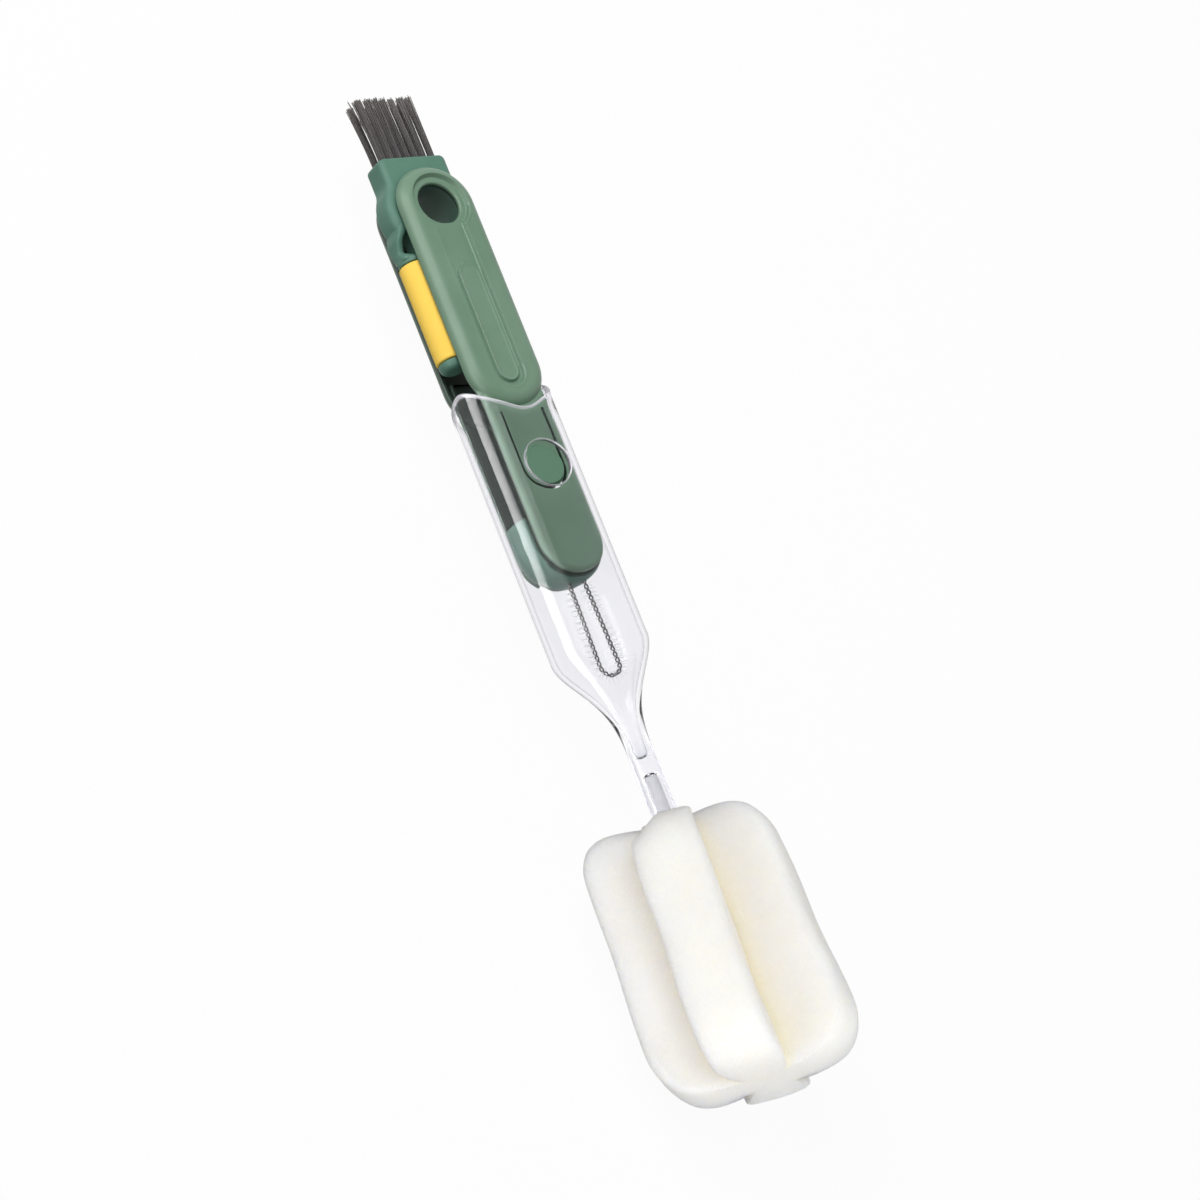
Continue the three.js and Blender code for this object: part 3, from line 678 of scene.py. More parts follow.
def roundBox(x, y, halfX, halfY, corner):    # signed distance to a rectangle with round corners
    dx, dy = np.abs(x) - halfX + corner, np.abs(y) - halfY + corner
    return np.hypot(np.maximum(dx, 0), np.maximum(dy, 0)) + np.minimum(np.maximum(dx, dy), 0) - corner


def softUnion(a, b, blend):                  # joins two distances with a fillet of that size
    share = np.clip(0.5 + 0.5 * (b - a) / blend, 0, 1)
    return b + (a - b) * share - blend * share * (1 - share)


arm = dict(hub=14.5, hubEdge=2.6, top=4.4, bore=8.5, blockStart=-17.4, blockHalf=11.5, blockEdge=2.0,
           faceEdge=0.6, cornerRound=1.4, fillet=1.2, stepX=5.0, stepY=-6.0, reach=30,
           collarStart=13.2, collarEnd=14.8, collar=4.3, collarLead=0.4, collarRound=0.4,
           spindle=2.5, spindlePast=1.2, spindleRound=0.3)


# The hub's circle and the block's box joined by a fillet, less a step; all shrink by their edges' rounding
def hubAndBlock(x, y, z):
    hub = np.hypot(x, y) - arm["hub"] + rounding(z, arm["top"], arm["hubEdge"])
    face = arm["blockStart"] + rounding(z, arm["top"], arm["faceEdge"])
    side = arm["blockHalf"] - rounding(z, arm["top"], arm["blockEdge"])
    block = roundBox(x - face / 2, y, -face / 2, side, arm["cornerRound"])
    step = np.minimum(x - arm["stepX"], arm["stepY"] - y) + rounding(z, arm["top"], arm["hubEdge"])
    return np.maximum(softUnion(hub, block, arm["fillet"]), step)


def boreOnly(x, y, z):                       # the hub's bore, the same at every height
    return np.hypot(x, y) - arm["bore"] + 0 * z


neck = dict(start=-3.0, end=13.7, side=3.0, half=1.25, drop=1.4, thick=2.2, blunt=0.7, rows=60, sides=48,
            hubRange=(2.0, 8.0), hubWiden=1.6, hubInward=1.5, hubThicken=2.1, hubFlat=6.0, hubOverlap=0.4,
            slopeRange=(3.5, 12.0),
            collarRange=(10.6, 13.2), collarWiden=1.4, collarInward=1.4, collarThicken=1.2)


# A bar beside the neck's window: an oblong, as cosine and sine raised to a power below 1 give it, that swells
# into the hub at one end and into the collar at the other
def neckBar(side):
    n = neck
    x = np.linspace(n["start"], n["end"], n["rows"])[:, None]
    toHub, toCollar = 1 - smooth(*n["hubRange"], x), smooth(*n["collarRange"], x)
    half = n["half"] + n["hubWiden"] * toHub + n["collarWiden"] * toCollar
    offset = side * (n["side"] - n["hubInward"] * toHub - n["collarInward"] * toCollar)
    if side < 0:                             # the outer bar runs out along the hub's round
        hubSide = np.sqrt(arm["hub"] ** 2 - np.minimum(x, n["hubFlat"]) ** 2)
        offset = mix(offset, half - hubSide + n["hubOverlap"] - sleeve["offset"], toHub)
    climb = 1 - smooth(*n["slopeRange"], x)  # slopes down from the hub's top
    drop = -n["drop"] * (1 - climb) * (1 - toCollar)
    thick = n["thick"] + n["hubThicken"] * climb + n["collarThicken"] * toCollar * (1 - climb)
    turn = around(n["sides"])[None, :]
    across, upward = (np.sign(c) * np.abs(c) ** n["blunt"] for c in (np.cos(turn), np.sin(turn)))
    rows = np.stack([x + 0 * turn, sleeve["offset"] + offset + half * across, drop + thick * upward], -1)
    first, last = rows[:1].mean(1, keepdims=True), rows[-1:].mean(1, keepdims=True)
    rows = np.concatenate([first + 0 * rows[:1], rows, last + 0 * rows[-1:]])
    return surface(rows, loopColumns=True)


spindleEnd = sleeve["end"] + arm["spindlePast"]
collarLine = fillet([[arm["collarStart"] - arm["collarLead"], 0],
                     [arm["collarStart"], arm["collar"], arm["collarRound"]],
                     [arm["collarEnd"], arm["collar"], arm["collarRound"]],
                     [arm["collarEnd"], arm["spindle"], 0],
                     [spindleEnd, arm["spindle"], arm["spindleRound"]], [spindleEnd, 0]])
armParts = [
    rayBody((0, 0), hubAndBlock, boreOnly, arm["top"], arm["hubEdge"], arm["reach"]),
    neckBar(-1),
    neckBar(1),
    turned(collarLine, sleeve["offset"]),
]
makePiece("flipArm", armParts, tealPlastic, "arm", ["flip_arm"])


# Hairs: thin tubes along given middle lines, one grid each, every hair closed at both ends
yAxis, zAxis = np.array([0.0, 1.0, 0.0]), np.array([0.0, 0.0, 1.0])


# A ring across the middle line's direction at each of its points; lines are hairs by steps by 3, and radius
# is hairs by steps
def tubes(lines, radius, sides, steep=0.8):
    along = np.gradient(lines, axis=1)
    along /= np.linalg.norm(along, axis=2, keepdims=True)
    side = np.cross(along, np.where(np.abs(along[..., 2:]) < steep, zAxis, yAxis))
    side /= np.linalg.norm(side, axis=2, keepdims=True)
    up = np.cross(side, along)
    turn = around(sides)[:, None]
    ring = side[:, :, None] * np.cos(turn) + up[:, :, None] * np.sin(turn)
    points = lines[:, :, None] + ring * radius[:, :, None, None]
    first, last = (points[:, :1] * 0 + lines[:, end, None, None] for end in (0, -1))
    rows = np.concatenate([first, points, last], 1)
    hairs, steps = rows.shape[:2]
    cells = quads(steps, sides, loopColumns=True)
    faces = (cells[None] + (np.arange(hairs) * steps * sides)[:, None, None]).reshape(-1, 4)
    return rows.reshape(-1, 3), faces


bristles = dict(columns=7, rows=2, pitch=2.8, rowPitch=3.8, radius=0.98, perTuft=50, start=-17.0, length=20.4,
                uneven=0.22, hair=0.115, taper=0.85, steps=6, sides=5, spread=1.1, fan=(1.03, 1.05), bow=1.6,
                lean=-0.5, sway=0.24, jitter=0.16, stray=16, strayReach=(-2.2, 0.4),
                goldenTurn=2.39996, startTurn=6.28)


# Roots on a sunflower spiral in each tuft; each hair goes to its tip by a power of the share of its length
def bristleLines():
    b = bristles
    tuftY = (np.arange(b["columns"]) - (b["columns"] - 1) / 2) * b["pitch"]
    tuftZ = (np.arange(b["rows"]) - (b["rows"] - 1) / 2) * b["rowPitch"]
    tuftY, tuftZ = (grid.reshape(-1, 1) for grid in np.meshgrid(tuftY, tuftZ))
    index = np.arange(b["perTuft"]) + 0.5
    disc = b["radius"] * np.sqrt(index / b["perTuft"])[None, :]
    turn = index[None, :] * b["goldenTurn"] + rng.uniform(0, b["startTurn"], tuftY.shape)
    offY, offZ = disc * np.cos(turn), disc * np.sin(turn)
    rootY, rootZ = (tuftY + offY).ravel(), (tuftZ + offZ).ravel()
    swayY, swayZ = rng.normal(0, b["sway"], (2, *tuftY.shape))
    fanY, fanZ = b["fan"]
    tipY = (tuftY * fanY + swayY + offY * b["spread"]).ravel() + b["lean"]
    tipY += rng.normal(0, b["jitter"], tipY.size)
    tipZ = (tuftZ * fanZ + swayZ + offZ * b["spread"]).ravel()
    tipZ += rng.normal(0, b["jitter"], tipZ.size)
    strays = rng.choice(rootY.size, b["stray"], replace=False)
    tipY[strays] += rng.uniform(*b["strayReach"], b["stray"])
    t = np.linspace(0, 1, b["steps"])[None, :]
    x = b["start"] - (b["length"] + rng.normal(0, b["uneven"], (rootY.size, 1))) * t
    y = mix(rootY[:, None], tipY[:, None], t ** b["bow"])
    z = mix(rootZ[:, None], tipZ[:, None], t ** b["bow"])
    return np.stack([x, y, z], -1)


def hairValues(shares, hairs, sides):        # how far along its hair each point is, and its hair's own shade
    along = np.tile(np.repeat(shares, sides), hairs)
    shade = np.repeat(rng.uniform(0, 1, hairs), sides * len(shares))
    return [("along", along), ("shade", shade)]


hairLines = bristleLines()
hairTaper = np.linspace(1, bristles["taper"], bristles["steps"])
hairRadius = bristles["hair"] * np.ones((len(hairLines), 1)) * hairTaper
hairShares = np.concatenate([[0.0], np.linspace(0, 1, bristles["steps"]), [1.0]]) ** 2
darkHair = nylonHair("darkNylon", screen(50, 47, 48), screen(106, 101, 99), 0.5)
tuftNodes = sorted(node for node in frame["nodes"] if node.startswith("bristle_tuft"))
makePiece("bristleTufts", [tubes(hairLines, hairRadius, bristles["sides"])], darkHair, "arm",
          tuftNodes, sharpAngle=60, attributes=hairValues(hairShares, len(hairLines), bristles["sides"]))
print("flip arm done")


# Wire brush: two strands wound round a U, with fine hairs caught between them
wire = dict(start=108.0, end=143.65, half=2.9, height=1.4, narrow=0.8, wide=1.07,
            strand=0.22, winding=0.45, pitch=3.4, strandSteps=420, strandSides=9)
fine = dict(start=116.6, endGap=0.3, spacing=0.16, jitter=0.05, reach=2.75, uneven=(0.86, 1.06), inward=0.3,
            upward=0.5, turnJitter=0.25, droop=0.22, hair=0.05, sides=4,
            shares=(1.0, 1.0, 0.5, 0.0, 0.5, 1.0, 1.0))


# Out along one leg, round the bend by cosine and sine, and back along the other
def loopPath(start, along):
    radius = wire["half"]
    straight = wire["end"] - radius - start
    angle = np.clip((along - straight) / radius, 0, math.pi) - quarter
    back = np.maximum(along - straight - math.pi * radius, 0)
    onward = np.minimum(along, straight)
    middle = np.stack([start + onward - back + radius * np.cos(angle), radius * np.sin(angle),
                       np.full_like(along, wire["height"])], -1)
    spread = (middle[:, 0] - base["end"]) / (wire["end"] - base["end"])
    middle[:, 1] *= mix(wire["narrow"], wire["wide"], np.clip(spread, 0, 1))     # legs apart at the bend
    sideways = np.stack([np.cos(angle), np.sin(angle), 0 * angle], -1)
    return middle, sideways


def loopLength(start):                       # two legs and half a circle
    return 2 * (wire["end"] - wire["half"] - start) + math.pi * wire["half"]


def strandLines():                           # two helices, half a turn apart, round the path
    along = np.linspace(0, loopLength(wire["start"]), wire["strandSteps"])
    middle, sideways = loopPath(wire["start"], along)
    turn = fullTurn * along / wire["pitch"]
    turn = np.stack([turn, turn + math.pi])[:, :, None]
    return middle + wire["winding"] * (np.cos(turn) * sideways + np.sin(turn) * zAxis)


strands = strandLines()
strandPart = tubes(strands, np.full(strands.shape[:2], wire["strand"]), wire["strandSides"])
makePiece("wireLoop", [strandPart], drawnWire(), "gap_tool", ["wire_loop"], sharpAngle=60)


# Straight hairs across the path, turned as the strands are there, that droop by the square of the reach
def caughtHairs():
    along = np.arange(fine["endGap"], loopLength(fine["start"]) - fine["endGap"], fine["spacing"])
    along = along + rng.uniform(-fine["jitter"], fine["jitter"], along.size)
    middle, sideways = loopPath(fine["start"], along)
    turn = fullTurn * (along + fine["start"] - wire["start"]) / wire["pitch"] + quarter
    turn = (turn + rng.normal(0, fine["turnJitter"], along.size))[:, None]
    t = np.linspace(-1, 1, len(fine["shares"]) - 2)[None, :, None]
    outward = np.cos(turn)[:, None] * t
    outward = np.where(outward < 0, fine["inward"] * outward, outward)     # worn short inside the U
    upward = np.sin(turn)[:, None] * t * fine["upward"]
    heading = outward * sideways[:, None] + upward * zAxis
    reachOut = fine["reach"] * rng.uniform(*fine["uneven"], (along.size, 1, 1))
    droop = rng.normal(0, fine["droop"], (along.size, 1, 3)) * t * t
    return middle[:, None] + heading * reachOut + droop


fineLines = caughtHairs()
finePart = tubes(fineLines, np.full(fineLines.shape[:2], fine["hair"]), fine["sides"])
whiteHair = nylonHair("whiteNylon", screen(240, 239, 243), screen(252, 251, 253), 0.4, alpha=0.17)
makePiece("wireHairs", [finePart], whiteHair, "gap_tool", ["wire_filaments"], sharpAngle=60,
          attributes=hairValues(fine["shares"], len(fineLines), fine["sides"]))
print("wire brush done")


# Clear handle: one skin from the socket's nose over the rod, shoulder and case, round the rim and down inside
case = dict(width=27.0, thickness=20.4, corner=7.6, wall=1.4, mouthFront=65.6, wave=9.8, straight=70.0,
            bead=0.25, beadBack=0.9, beadWidth=0.9, flare=0.35, flareStart=2, flareEnd=9,
            windowX=83.0, window=6.9, windowRound=0.45, windowMargin=2.2, windowColumns=6, windowMilk=0.7,
            shoulder=135.5, shoulderLength=35.0, roundness=0.995, cavityEnd=168.4, cavityTip=1.8,
            solidFade=8.0, rod=3.55, rodEnd=196.0, rodEdge=0.3, rodRound=0.29, socket=172.6,
            socketRadius=2.0, socketRound=0.3)
caseRows = dict(lip=11, climb=14, levelStep=0.75, slope=60, rod=16, nose=8, rodBend=5, patch=9, windowBend=7)
arcCount, faceCount, sideCount = 18, 26, 10


def ringWeights():                           # each column as a share between two points of the corner arcs
    first, second, share = [], [], []
    for corner in range(4):
        points = corner * arcCount + np.arange(arcCount)
        flat = faceCount if corner % 2 == 0 else sideCount
        first += [points, np.full(flat, points[-1])]
        second += [points, np.full(flat, (points[-1] + 1) % (4 * arcCount))]
        share += [np.zeros(arcCount), np.arange(1, flat + 1) / (flat + 1)]
    return np.concatenate(first), np.concatenate(second), np.concatenate(share)


ringFirst, ringSecond, ringShare = ringWeights()
arcTurn = np.concatenate([np.linspace(k, k + 1, arcCount) * quarter for k in range(4)])
arcSignY = np.repeat([1, -1, -1, 1], arcCount)
arcSignZ = np.repeat([1, 1, -1, -1], arcCount)


# A rounded rectangle whose halves and corner ease to a circle along the shoulder, by a power of the way left;
# inset is the depth below the skin
def caseRing(x, inset, endRadius):
    t = np.clip((x - case["shoulder"]) / case["shoulderLength"], 0, 1)
    share = 1 - (1 - t) ** 4 * (1 + 4 * t)
    halfY = mix(case["width"] / 2 - inset, endRadius, share)
    halfZ = mix(case["thickness"] / 2 - inset, endRadius, share)
    corner = mix(case["corner"] - inset, endRadius * case["roundness"], share)

    def arcPoint(index):
        y = arcSignY[index] * (halfY - corner) + corner * np.cos(arcTurn[index])
        z = arcSignZ[index] * (halfZ - corner) + corner * np.sin(arcTurn[index])
        return y, z
    (y0, z0), (y1, z1) = arcPoint(ringFirst), arcPoint(ringSecond)
    y, z = mix(y0, y1, ringShare), mix(z0, z1, ringShare)
    return np.stack([x + 0 * y, y, z], -1)


# Rings along x: the rim is a cosine wave of two periods round the mouth and its lip a half circle, with a
# bell-shaped bead outside and an eased flare inside; noses are quarter arcs
def handleSkin():
    c = case
    middleRing = caseRing(np.full((1, 1), c["straight"]), c["wall"] / 2, c["rod"])[0]
    swing = np.arctan2(middleRing[:, 1] / c["width"], middleRing[:, 2] / c["thickness"])
    rim = (c["mouthFront"] - c["wave"] / 2 + c["wave"] / 2 * np.cos(2 * swing))[None, :]
    lip = c["wall"] / 2
    lipTurn = np.linspace(-quarter, quarter, caseRows["lip"])[:, None]
    climb = np.linspace(0, 1, caseRows["climb"])[1:-1, None]
    level = np.arange(c["straight"], c["shoulder"], caseRows["levelStep"])[:, None]
    slope = np.linspace(0, 1, caseRows["slope"])[:, None]
    shoulderEnd, rodStop = c["shoulder"] + c["shoulderLength"], c["rodEnd"] - c["rodEdge"]
    cavityStop = c["cavityEnd"] - c["cavityTip"]
    alongRod = np.linspace(shoulderEnd, rodStop, caseRows["rod"])[1:, None]
    toShoulder = [mix(rim + lip, c["straight"], climb), level + 0 * rim]
    outerX = np.concatenate([*toShoulder, mix(c["shoulder"], shoulderEnd, slope) + 0 * rim,
                             alongRod + 0 * rim])
    bead = c["bead"] * np.exp(-((outerX - rim - c["beadBack"]) / c["beadWidth"]) ** 2)
    outer = caseRing(outerX, -bead, c["rod"])
    innerX = np.concatenate([*toShoulder, mix(c["shoulder"], cavityStop, slope) + 0 * rim])
    flare = c["flare"] * (1 - smooth(rim + c["flareStart"], rim + c["flareEnd"], innerX))
    inner = caseRing(innerX, c["wall"] - flare, c["cavityTip"])
    lipInset = mix(-c["bead"], c["wall"] - c["flare"], (1 + np.sin(lipTurn)) / 2)
    lipX = rim + lip * (1 - np.cos(lipTurn))
    lipRing = caseRing(lipX, lipInset + 0 * rim, c["rod"])
    noseTurn = np.linspace(0, quarter, caseRows["nose"])[1:, None]
    noseX = cavityStop + c["cavityTip"] * np.sin(noseTurn)
    last = inner[-1:, :, 1:]
    floor = np.concatenate([noseX[:, :, None] + 0 * last[..., :1], last * np.cos(noseTurn)[:, :, None]], -1)
    endLine = fillet([[rodStop, c["rod"]], [c["rodEnd"], c["rod"], c["rodRound"]],
                      [c["rodEnd"], c["socketRadius"], c["socketRound"]],
                      [c["socket"] + c["socketRadius"], c["socketRadius"]]], caseRows["rodBend"])[1:]
    nose = np.concatenate([c["socket"] + c["socketRadius"] * (1 - np.sin(noseTurn)),
                           c["socketRadius"] * np.cos(noseTurn)], -1)
    socketLine = np.concatenate([endLine, nose])
    unit = outer[-1:, :, 1:] / c["rod"]
    socket = np.concatenate([socketLine[:, None, :1] + 0 * unit[..., :1], socketLine[:, None, 1:] * unit], -1)
    rows = np.concatenate([socket[::-1], outer[::-1], lipRing, inner, floor])
    innerFirst = len(socket) + len(outer) + len(lipRing)
    brink = np.zeros(rows.shape[:2])
    brink[innerFirst - len(lipRing):innerFirst] = 1.0
    return rows, brink, outerX[:, 0], len(socket), len(outer), innerFirst


def topOfWall(y, inset):                     # height of the case's front skin over a place across it
    corner = case["corner"] - inset
    over = np.maximum(np.abs(y) - (case["width"] / 2 - case["corner"]), 0)
    return case["thickness"] / 2 - inset - corner + np.sqrt(corner ** 2 - over ** 2)


# The skin with a patch of cells left out inside and outside, where rows go straight in to the latch window's
# circle and round its edge by a quarter arc
def clearHandle():
    rows, lipBrink, outerX, outerFirst, outerCount, innerFirst = handleSkin()
    points, faces = surface(rows, loopColumns=True)
    isNear = np.abs(outerX - case["windowX"]) < case["window"] + case["windowMargin"]
    levels = np.nonzero(isNear & (outerX >= case["straight"]))[0]
    first, last = levels[0], levels[-1]
    left, right = arcCount - case["windowColumns"], arcCount + faceCount + case["windowColumns"] - 1
    outerRow = outerFirst + outerCount - 1 - np.arange(outerCount)   # outer rows stand in reverse
    drop = np.zeros((len(faces) // rows.shape[1], rows.shape[1]), bool)
    drop[outerRow[last]:outerRow[first], left:right] = True
    drop[innerFirst + first:innerFirst + last, left:right] = True
    faces = faces[~drop.ravel()]
    across, along = np.arange(left, right), np.arange(first, last)
    loopLevel = np.concatenate([np.full(right - left, first), along,
                                np.full(right - left, last), along[::-1] + 1])
    loopColumn = np.concatenate([across, np.full(len(along), right),
                                 across[::-1] + 1, np.full(len(along), left)])
    outerLoop = rows[outerRow[loopLevel], loopColumn]
    innerLoop = rows[innerFirst + loopLevel, loopColumn]
    angle = np.arctan2(outerLoop[:, 1], outerLoop[:, 0] - case["windowX"])
    heading = np.stack([np.cos(angle), np.sin(angle)], -1)
    centre = np.array([case["windowX"], 0.0])
    brink, soft, wall = case["window"], case["windowRound"], case["wall"]
    share = np.linspace(0, 1, caseRows["patch"])[1:, None, None]
    bend = np.linspace(0, quarter, caseRows["windowBend"])[1:, None, None]
    wide = centre + heading * (brink + soft)
    fall = soft * (1 - np.cos(bend[..., 0]))
    outerPlan = mix(outerLoop[None, :, :2], wide[None], share)
    outerTurn = centre + heading[None] * (brink + soft * (1 - np.sin(bend)))
    innerTurn = outerTurn[::-1]
    innerPlan = mix(innerLoop[None, :, :2], wide[None], share)[::-1]
    plan = np.concatenate([outerPlan, outerTurn, innerTurn, innerPlan])
    height = np.concatenate([
        topOfWall(outerPlan[..., 1], 0.0), topOfWall(outerTurn[..., 1], 0.0) - fall,
        topOfWall(innerTurn[..., 1], wall) + fall[::-1], topOfWall(innerPlan[..., 1], wall),
    ])
    patch = np.concatenate([outerLoop[None], np.concatenate([plan, height[..., None]], -1), innerLoop[None]])
    windowBrink = np.zeros(patch.shape[:2])
    windowBrink[1 + len(share):1 + len(share) + 2 * len(bend)] = case["windowMilk"]
    milky = np.concatenate([lipBrink.ravel(), windowBrink.ravel()])
    allX = np.concatenate([points[:, 0], patch[..., 0].ravel()])
    solid = smooth(case["cavityEnd"] - case["solidFade"], case["cavityEnd"], allX)
    return [(points, faces), surface(patch, loopColumns=True)], [("brink", milky), ("solid", solid)]


caseParts, caseValues = clearHandle()
clearCase = makePiece("clearHandle", caseParts, clearPlastic(), "sponge_handle",
                      ["clear_handle"], sharpAngle=50, attributes=caseValues)
print("clear handle done")


# Sponge: a cross of four lobes drawn along x; the lobes' reach follows a rounded side view
foam = dict(start=188.2, end=261.0, topReach=25.1, endReach=27.6, half=9.25, root=7.0, edge=2.8, crown=0.5,
            topRound=11.0, endRound=14.0, topSoft=4.0, endSoft=2.6, bore=3.8, boreStep=2.0, boreDepth=5.0,
            wave=0.22, waveRange=(4, 12), waves=((0.21, 0.17, 0), (0.19, 0.23, 1), (0.17, -0.2, 2)),
            turn=-5.0, yaw=39.0, lean=(0.08, 0.2), skew=0.05, tilt=(0.1, 0.17), lift=2.4, liftRange=(6, 20),
            cornerDrop=5.0, cornerAcross=(-1, 9), cornerFront=(7, 14), cornerFade=5)
foamRows = dict(side=26, arc=6, face=22, top=18, end=22, middle=46, cap=14)


def lobeReach(x):                            # a straight line, less a quarter arc at each end
    f = foam
    line = mix(f["topReach"], f["endReach"], (x - f["start"]) / (f["end"] - f["start"]))
    fromTop = np.clip(f["topRound"] - (x - f["start"]), 0, f["topRound"])
    fromEnd = np.clip(f["endRound"] - (f["end"] - x), 0, f["endRound"])
    return (line - f["topRound"] + np.sqrt(f["topRound"] ** 2 - fromTop ** 2)
            - f["endRound"] + np.sqrt(f["endRound"] ** 2 - fromEnd ** 2))


# One lobe per row, from inner corner to inner corner: straight sides that flare outwards, two quarter arcs
# and a face crowned by a parabola
def lobeOutline(reachOut, half, root):
    edge = foam["edge"]
    t = np.linspace(0, 1, foamRows["side"])[None, :]
    bend = np.linspace(0, quarter, foamRows["arc"])[None, 1:]
    b = np.linspace(-1, 1, foamRows["face"])[None, 1:]
    side = mix(root, reachOut - edge, t)
    flare = mix(root, half, t)
    crown = foam["crown"] * (1 - b ** 2)
    out = np.concatenate([side, reachOut - edge + edge * np.sin(bend), reachOut + crown,
                          reachOut - edge + edge * np.cos(bend), side[:, ::-1][:, 1:-1]], 1)
    wide = half - edge
    across = np.concatenate([-flare, -wide - edge * np.cos(bend) + 0 * reachOut, wide * b + 0 * reachOut,
                             wide + edge * np.sin(bend) + 0 * reachOut, flare[:, ::-1][:, 1:-1]], 1)
    groove = np.concatenate([1 - t, 0 * bend, 0 * b, 0 * bend, t[:, 1:-1]], 1)
    return out, across, groove


# Four turned copies of the outline at each place along x, drawn in by a quarter arc at both ends, closed by a
# flat end face and by a top face with a bore for the rod
def foamBlock():
    f = foam
    topTurn = np.linspace(0, quarter, foamRows["top"])[:, None]
    endTurn = np.linspace(0, quarter, foamRows["end"])[:, None]
    topEnd, endStart = f["start"] + f["topRound"], f["end"] - f["endRound"]
    between = np.linspace(topEnd, endStart, foamRows["middle"])[1:-1, None]
    x = np.concatenate([f["start"] + f["topRound"] * (1 - np.cos(topTurn)), between,
                        f["end"] - f["endRound"] * (1 - np.sin(endTurn))])
    inset = 0
    for soft, depth in (f["topSoft"], x - f["start"]), (f["endSoft"], f["end"] - x):
        inset = inset + (soft - np.sqrt(np.maximum(soft ** 2 - np.maximum(soft - depth, 0) ** 2, 0)))
    out, across, groove = lobeOutline(lobeReach(x) - inset, f["half"] - inset, f["root"] - inset)
    spin = math.pi / 4 + quarter * np.arange(4)
    y = np.concatenate([out * math.cos(a) - across * math.sin(a) for a in spin], 1)
    z = np.concatenate([out * math.sin(a) + across * math.cos(a) for a in spin], 1)
    body = np.stack([x + 0 * y, y, z], -1)
    turn = np.arctan2(y[:1], z[:1])
    boreY, boreZ = f["bore"] * np.sin(turn), f["bore"] * np.cos(turn)
    share = np.linspace(0, 1, foamRows["cap"])[1:, None]
    faceY, faceZ = mix(y[:1], boreY, share), mix(z[:1], boreZ, share)
    topFace = np.stack([f["start"] + 0 * faceY, faceY, faceZ], -1)
    deep = np.array([[f["boreStep"]], [f["boreDepth"]], [f["boreDepth"]]])
    narrow = np.array([[1.0], [1.0], [0.0]])
    boreWall = np.stack([f["start"] + deep + 0 * turn, narrow * boreY, narrow * boreZ], -1)
    endFace = np.stack([f["end"] + 0 * share * y[-1:], (1 - share) * y[-1:], (1 - share) * z[-1:]], -1)
    rows = np.concatenate([boreWall[::-1], topFace[::-1], body, endFace])
    grooveShade = np.zeros(rows.shape[:2])
    bodyFirst = len(boreWall) + len(topFace)
    # Painted warm shade, strongest at the inner corners where the lobes meet
    grooveShade[bodyFirst:bodyFirst + len(body)] = np.tile(groove, (len(x), 4)) ** 2
    return rows, grooveShade


# Slow sine waves that fade out towards the middle, a turn about x, and shears by the distance towards the
# front lobe; it leans to one side, more at its end, and its upper corner drops by a power of the way left
def settled(rows):
    f = foam
    x, y, z = np.moveaxis(rows, -1, 0)
    pairs = (y, z), (x, z), (x, y)
    waves = [np.sin(p * a + q * b + phase) for (p, q), (a, b, phase) in zip(pairs, f["waves"])]
    fade = smooth(*f["waveRange"], np.hypot(y, z))
    x, y, z = (still + f["wave"] * wave * fade for still, wave in zip((x, y, z), waves))
    yaw, turnBy = math.radians(f["yaw"]), math.radians(f["turn"])
    span = (x - f["start"]) / (f["end"] - f["start"])
    y, z = y * math.cos(turnBy) - z * math.sin(turnBy), y * math.sin(turnBy) + z * math.cos(turnBy)
    across = y * math.cos(yaw) + z * math.sin(yaw)
    toFront = z * math.cos(yaw) - y * math.sin(yaw)
    sag = mix(*f["lean"], span) * np.maximum(toFront, 0)
    corner = smooth(*f["cornerAcross"], -across) * smooth(*f["cornerFront"], toFront)
    drop = f["cornerDrop"] * corner * np.clip(1 - span, 0, 1) ** f["cornerFade"]
    lift = f["lift"] * smooth(*f["liftRange"], -across) * (1 - span)
    x = x + (f["skew"] * across - mix(*f["tilt"], span) * toFront + drop - lift)
    return np.stack([x, y - sag * math.cos(yaw), z - sag * math.sin(yaw)], -1)


foamGrid, foamGrooveShade = foamBlock()
foamPart = surface(settled(foamGrid), loopColumns=True)
spongeHead = makePiece("spongeHead", [foamPart], openFoam(), "sponge_handle", ["sponge_head"],
                       sharpAngle=50, attributes=[("groove", foamGrooveShade.ravel())])

core = dict(start=172.9, end=240.9, radius=1.7, noseRound=1.65, endRound=0.4, bendSteps=8, sides=40)
coreLine = fillet([[core["start"], 0], [core["start"], core["radius"], core["noseRound"]],
                   [core["end"], core["radius"], core["endRound"]], [core["end"], 0]], core["bendSteps"])
makePiece("spongeCore", [turned(coreLine, sides=core["sides"])], corePlastic, "sponge_handle",
          ["sponge_core"])
print("sponge done")


# Camera at the photograph's angle: turned about the handle, tipped towards the sponge end, and rolled
shot = dict(yaw=39.0, tip=16.3, roll=(0.3735, 0.9276), target=(122.6, 4.0, 3.3), distance=1000.0, lens=110.7,
            sensor=36.0, nearest=0.01)
yaw, tip = math.radians(shot["yaw"]), math.radians(shot["tip"])
back = np.array([math.sin(tip), -math.cos(tip) * math.sin(yaw), math.cos(tip) * math.cos(yaw)])
alongAxis = np.array([math.cos(tip), math.sin(tip) * math.sin(yaw), -math.sin(tip) * math.cos(yaw)])
acrossAxis = np.array([0.0, math.cos(yaw), math.sin(yaw)])
rollX, rollY = np.array(shot["roll"]) / np.hypot(*shot["roll"])
right = rollX * alongAxis + rollY * acrossAxis
up = rollX * acrossAxis - rollY * alongAxis
aim = place(np.array(shot["target"]))


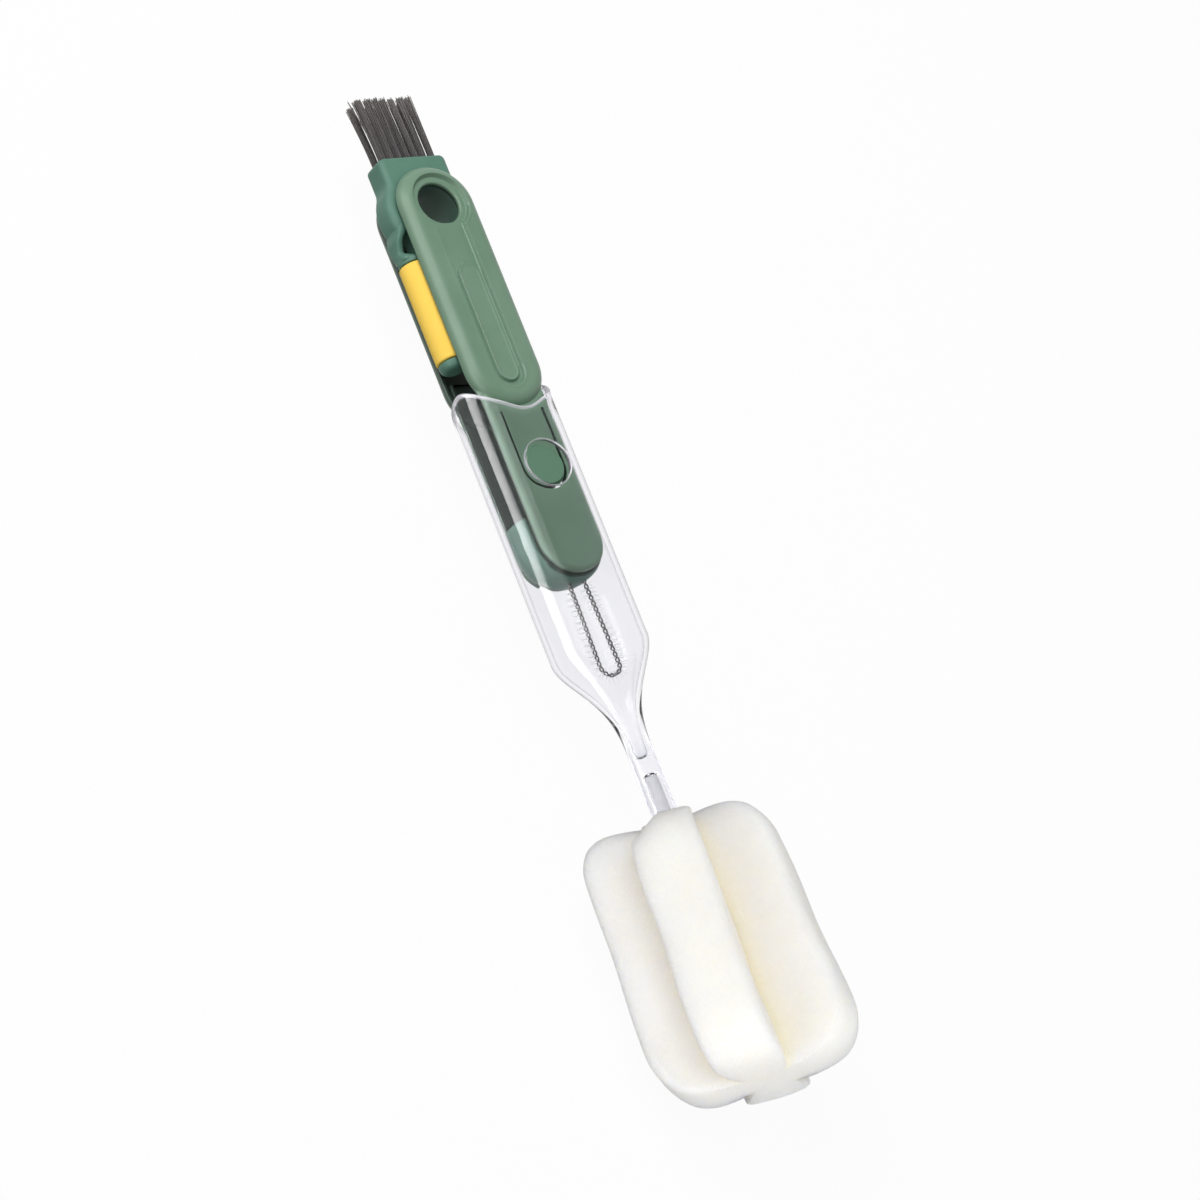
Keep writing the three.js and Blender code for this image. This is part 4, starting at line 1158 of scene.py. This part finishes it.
def stand(obj, position, rightward, upward, backward):         # an object at a place, turned to three axes
    turn = Matrix(np.stack([rightward, upward, backward], 1).tolist()).to_4x4()
    turn.translation = position
    obj.matrix_world = turn
    bpy.context.scene.collection.objects.link(obj)


lens = bpy.data.cameras.new("camera")
lens.lens, lens.sensor_width, lens.clip_start = shot["lens"], shot["sensor"], shot["nearest"]
camera = bpy.data.objects.new("camera", lens)
stand(camera, aim + back * shot["distance"] * mm, right, up, back)
bpy.context.scene.camera = camera

# Soft boxes: the way to each from the middle of the brush, or from the place along x that it is over, with
# its distance and its two sides in metres. One lamp is kept off the foam, and some light one piece alone.
lamps = {
    "keyLamp": dict(way=(-0.48, -0.38, 0.79), distance=0.9, size=(0.5, 0.6), power=5.4, past=spongeHead),
    "glossLamp": dict(way=(-0.28, -0.84, 0.46), distance=0.75, size=(0.4, 1.6), power=9.0, glossOnly=True),
    "foamKey": dict(way=(0.10, -0.45, 0.89), distance=0.9, size=(0.4, 0.4), power=3.0, onto=spongeHead),
    "foamLeft": dict(way=(0.10, -0.99, 0.08), distance=0.4, size=(0.3, 0.3), power=0.68, over=225.0,
                     onto=spongeHead),
    "foamEnd": dict(way=(0.99, -0.10, 0.05), distance=0.4, size=(0.3, 0.3), power=1.1, over=245.0,
                    onto=spongeHead),
    "foamRight": dict(way=(0.15, 0.60, 0.78), distance=0.4, size=(0.3, 0.3), power=0.3, over=225.0,
                      onto=spongeHead),
    "sleeveFill": dict(way=(-0.20, -0.90, 0.35), distance=0.4, size=(0.3, 0.3), power=0.24, over=30.0,
                       onto=wipeSleeve),
    "card": dict(way=(0.0, -0.0963, -0.9954), at=(60.0, -197.5, -10.75), size=(0.306, 0.5), power=12.5,
                 glossOnly=True, onto=clearCase),
}
for name, lamp in lamps.items():
    light = bpy.data.lights.new(name, "AREA")
    light.shape, light.energy = "RECTANGLE", lamp["power"]
    light.size, light.size_y = lamp["size"]
    softBox = bpy.data.objects.new(name, light)
    softBox.visible_diffuse = not lamp.get("glossOnly", False)
    for word, state in (("onto", "INCLUDE"), ("past", "EXCLUDE")):
        if word in lamp:
            screened = bpy.data.collections.new(name)
            screened.objects.link(lamp[word])
            screened.collection_objects[0].light_linking.link_state = state
            softBox.light_linking.receiver_collection = screened
    facing = np.array(lamp["way"]) / np.linalg.norm(lamp["way"])
    sideways = np.cross((1.0, 0.0, 0.0), facing)
    sideways /= np.linalg.norm(sideways)
    lit = place(np.array([lamp.get("over", shot["target"][0]), 0.0, 0.0]))
    position = place(np.array(lamp["at"])) if "at" in lamp else lit + facing * lamp["distance"]
    stand(softBox, position, sideways, np.cross(facing, sideways), facing)


# 1 for the camera, for gloss and for what shows through clear plastic, and 0 after a matt bounce
def whiteRays(finish):
    rays = finish.add("ShaderNodeLightPath")
    seen = rays.sibling("Is Camera Ray") + rays.sibling("Is Glossy Ray") + rays.sibling("Is Transmission Ray")
    scattered = finish.least(rays.sibling("Diffuse Depth"), 1.0)
    return finish.least(seen, 1.0) * (1 - scattered)


# White all round for those rays, softer as a light; the floor glows as white, less a share for the shadow
level = dict(world=0.36, floorShow=0.95, floorTone=0.9, floorBounce=0.35, floorRoughness=0.9, floorHalf=4,
             floorDrop=0.0008)
fullWhite = (1.0, 1.0, 1.0, 1.0)
world = bpy.data.worlds.new("studio")
bpy.context.scene.world = world
studio = Finish(world)
dim = studio.add("ShaderNodeBackground", None, {"Color": fullWhite, "Strength": level["world"]})
white = studio.add("ShaderNodeBackground", None, {"Color": fullWhite, "Strength": 1.0})
studio.add("ShaderNodeOutputWorld", None, {"Surface": studio.either(whiteRays(studio), dim, white)})

floorFinish = newFinish("paleFloor")
bounced = floorFinish.add("ShaderNodeLightPath", output="Diffuse Depth")
pale, deep = ((tone, tone, tone, 1.0) for tone in (level["floorTone"], level["floorBounce"]))
floorTone = floorFinish.blend(bounced, pale, deep)
matt = floorFinish.principled(Base_Color=floorTone, Roughness=level["floorRoughness"])
glow = floorFinish.add("ShaderNodeEmission", None, {"Color": fullWhite, "Strength": 1.0})
paleFloor = floorFinish.close(floorFinish.either(whiteRays(floorFinish) * level["floorShow"], matt, glow))
floorSpan = np.linspace(-level["floorHalf"], level["floorHalf"], 3)
floorX, floorY = np.meshgrid(floorSpan, floorSpan)
floorPoints, floorCells = surface(np.stack([floorX, floorY, 0 * floorX - level["floorDrop"]], -1))
floorMesh = bpy.data.meshes.new("floor")
floorMesh.from_pydata(floorPoints.tolist(), [], floorCells.tolist())
floorMesh.materials.append(paleFloor)
floor = bpy.data.objects.new("floor", floorMesh)
bpy.context.scene.collection.objects.link(floor)

bpy.context.scene.view_settings.view_transform = "Standard"
print("stage set")
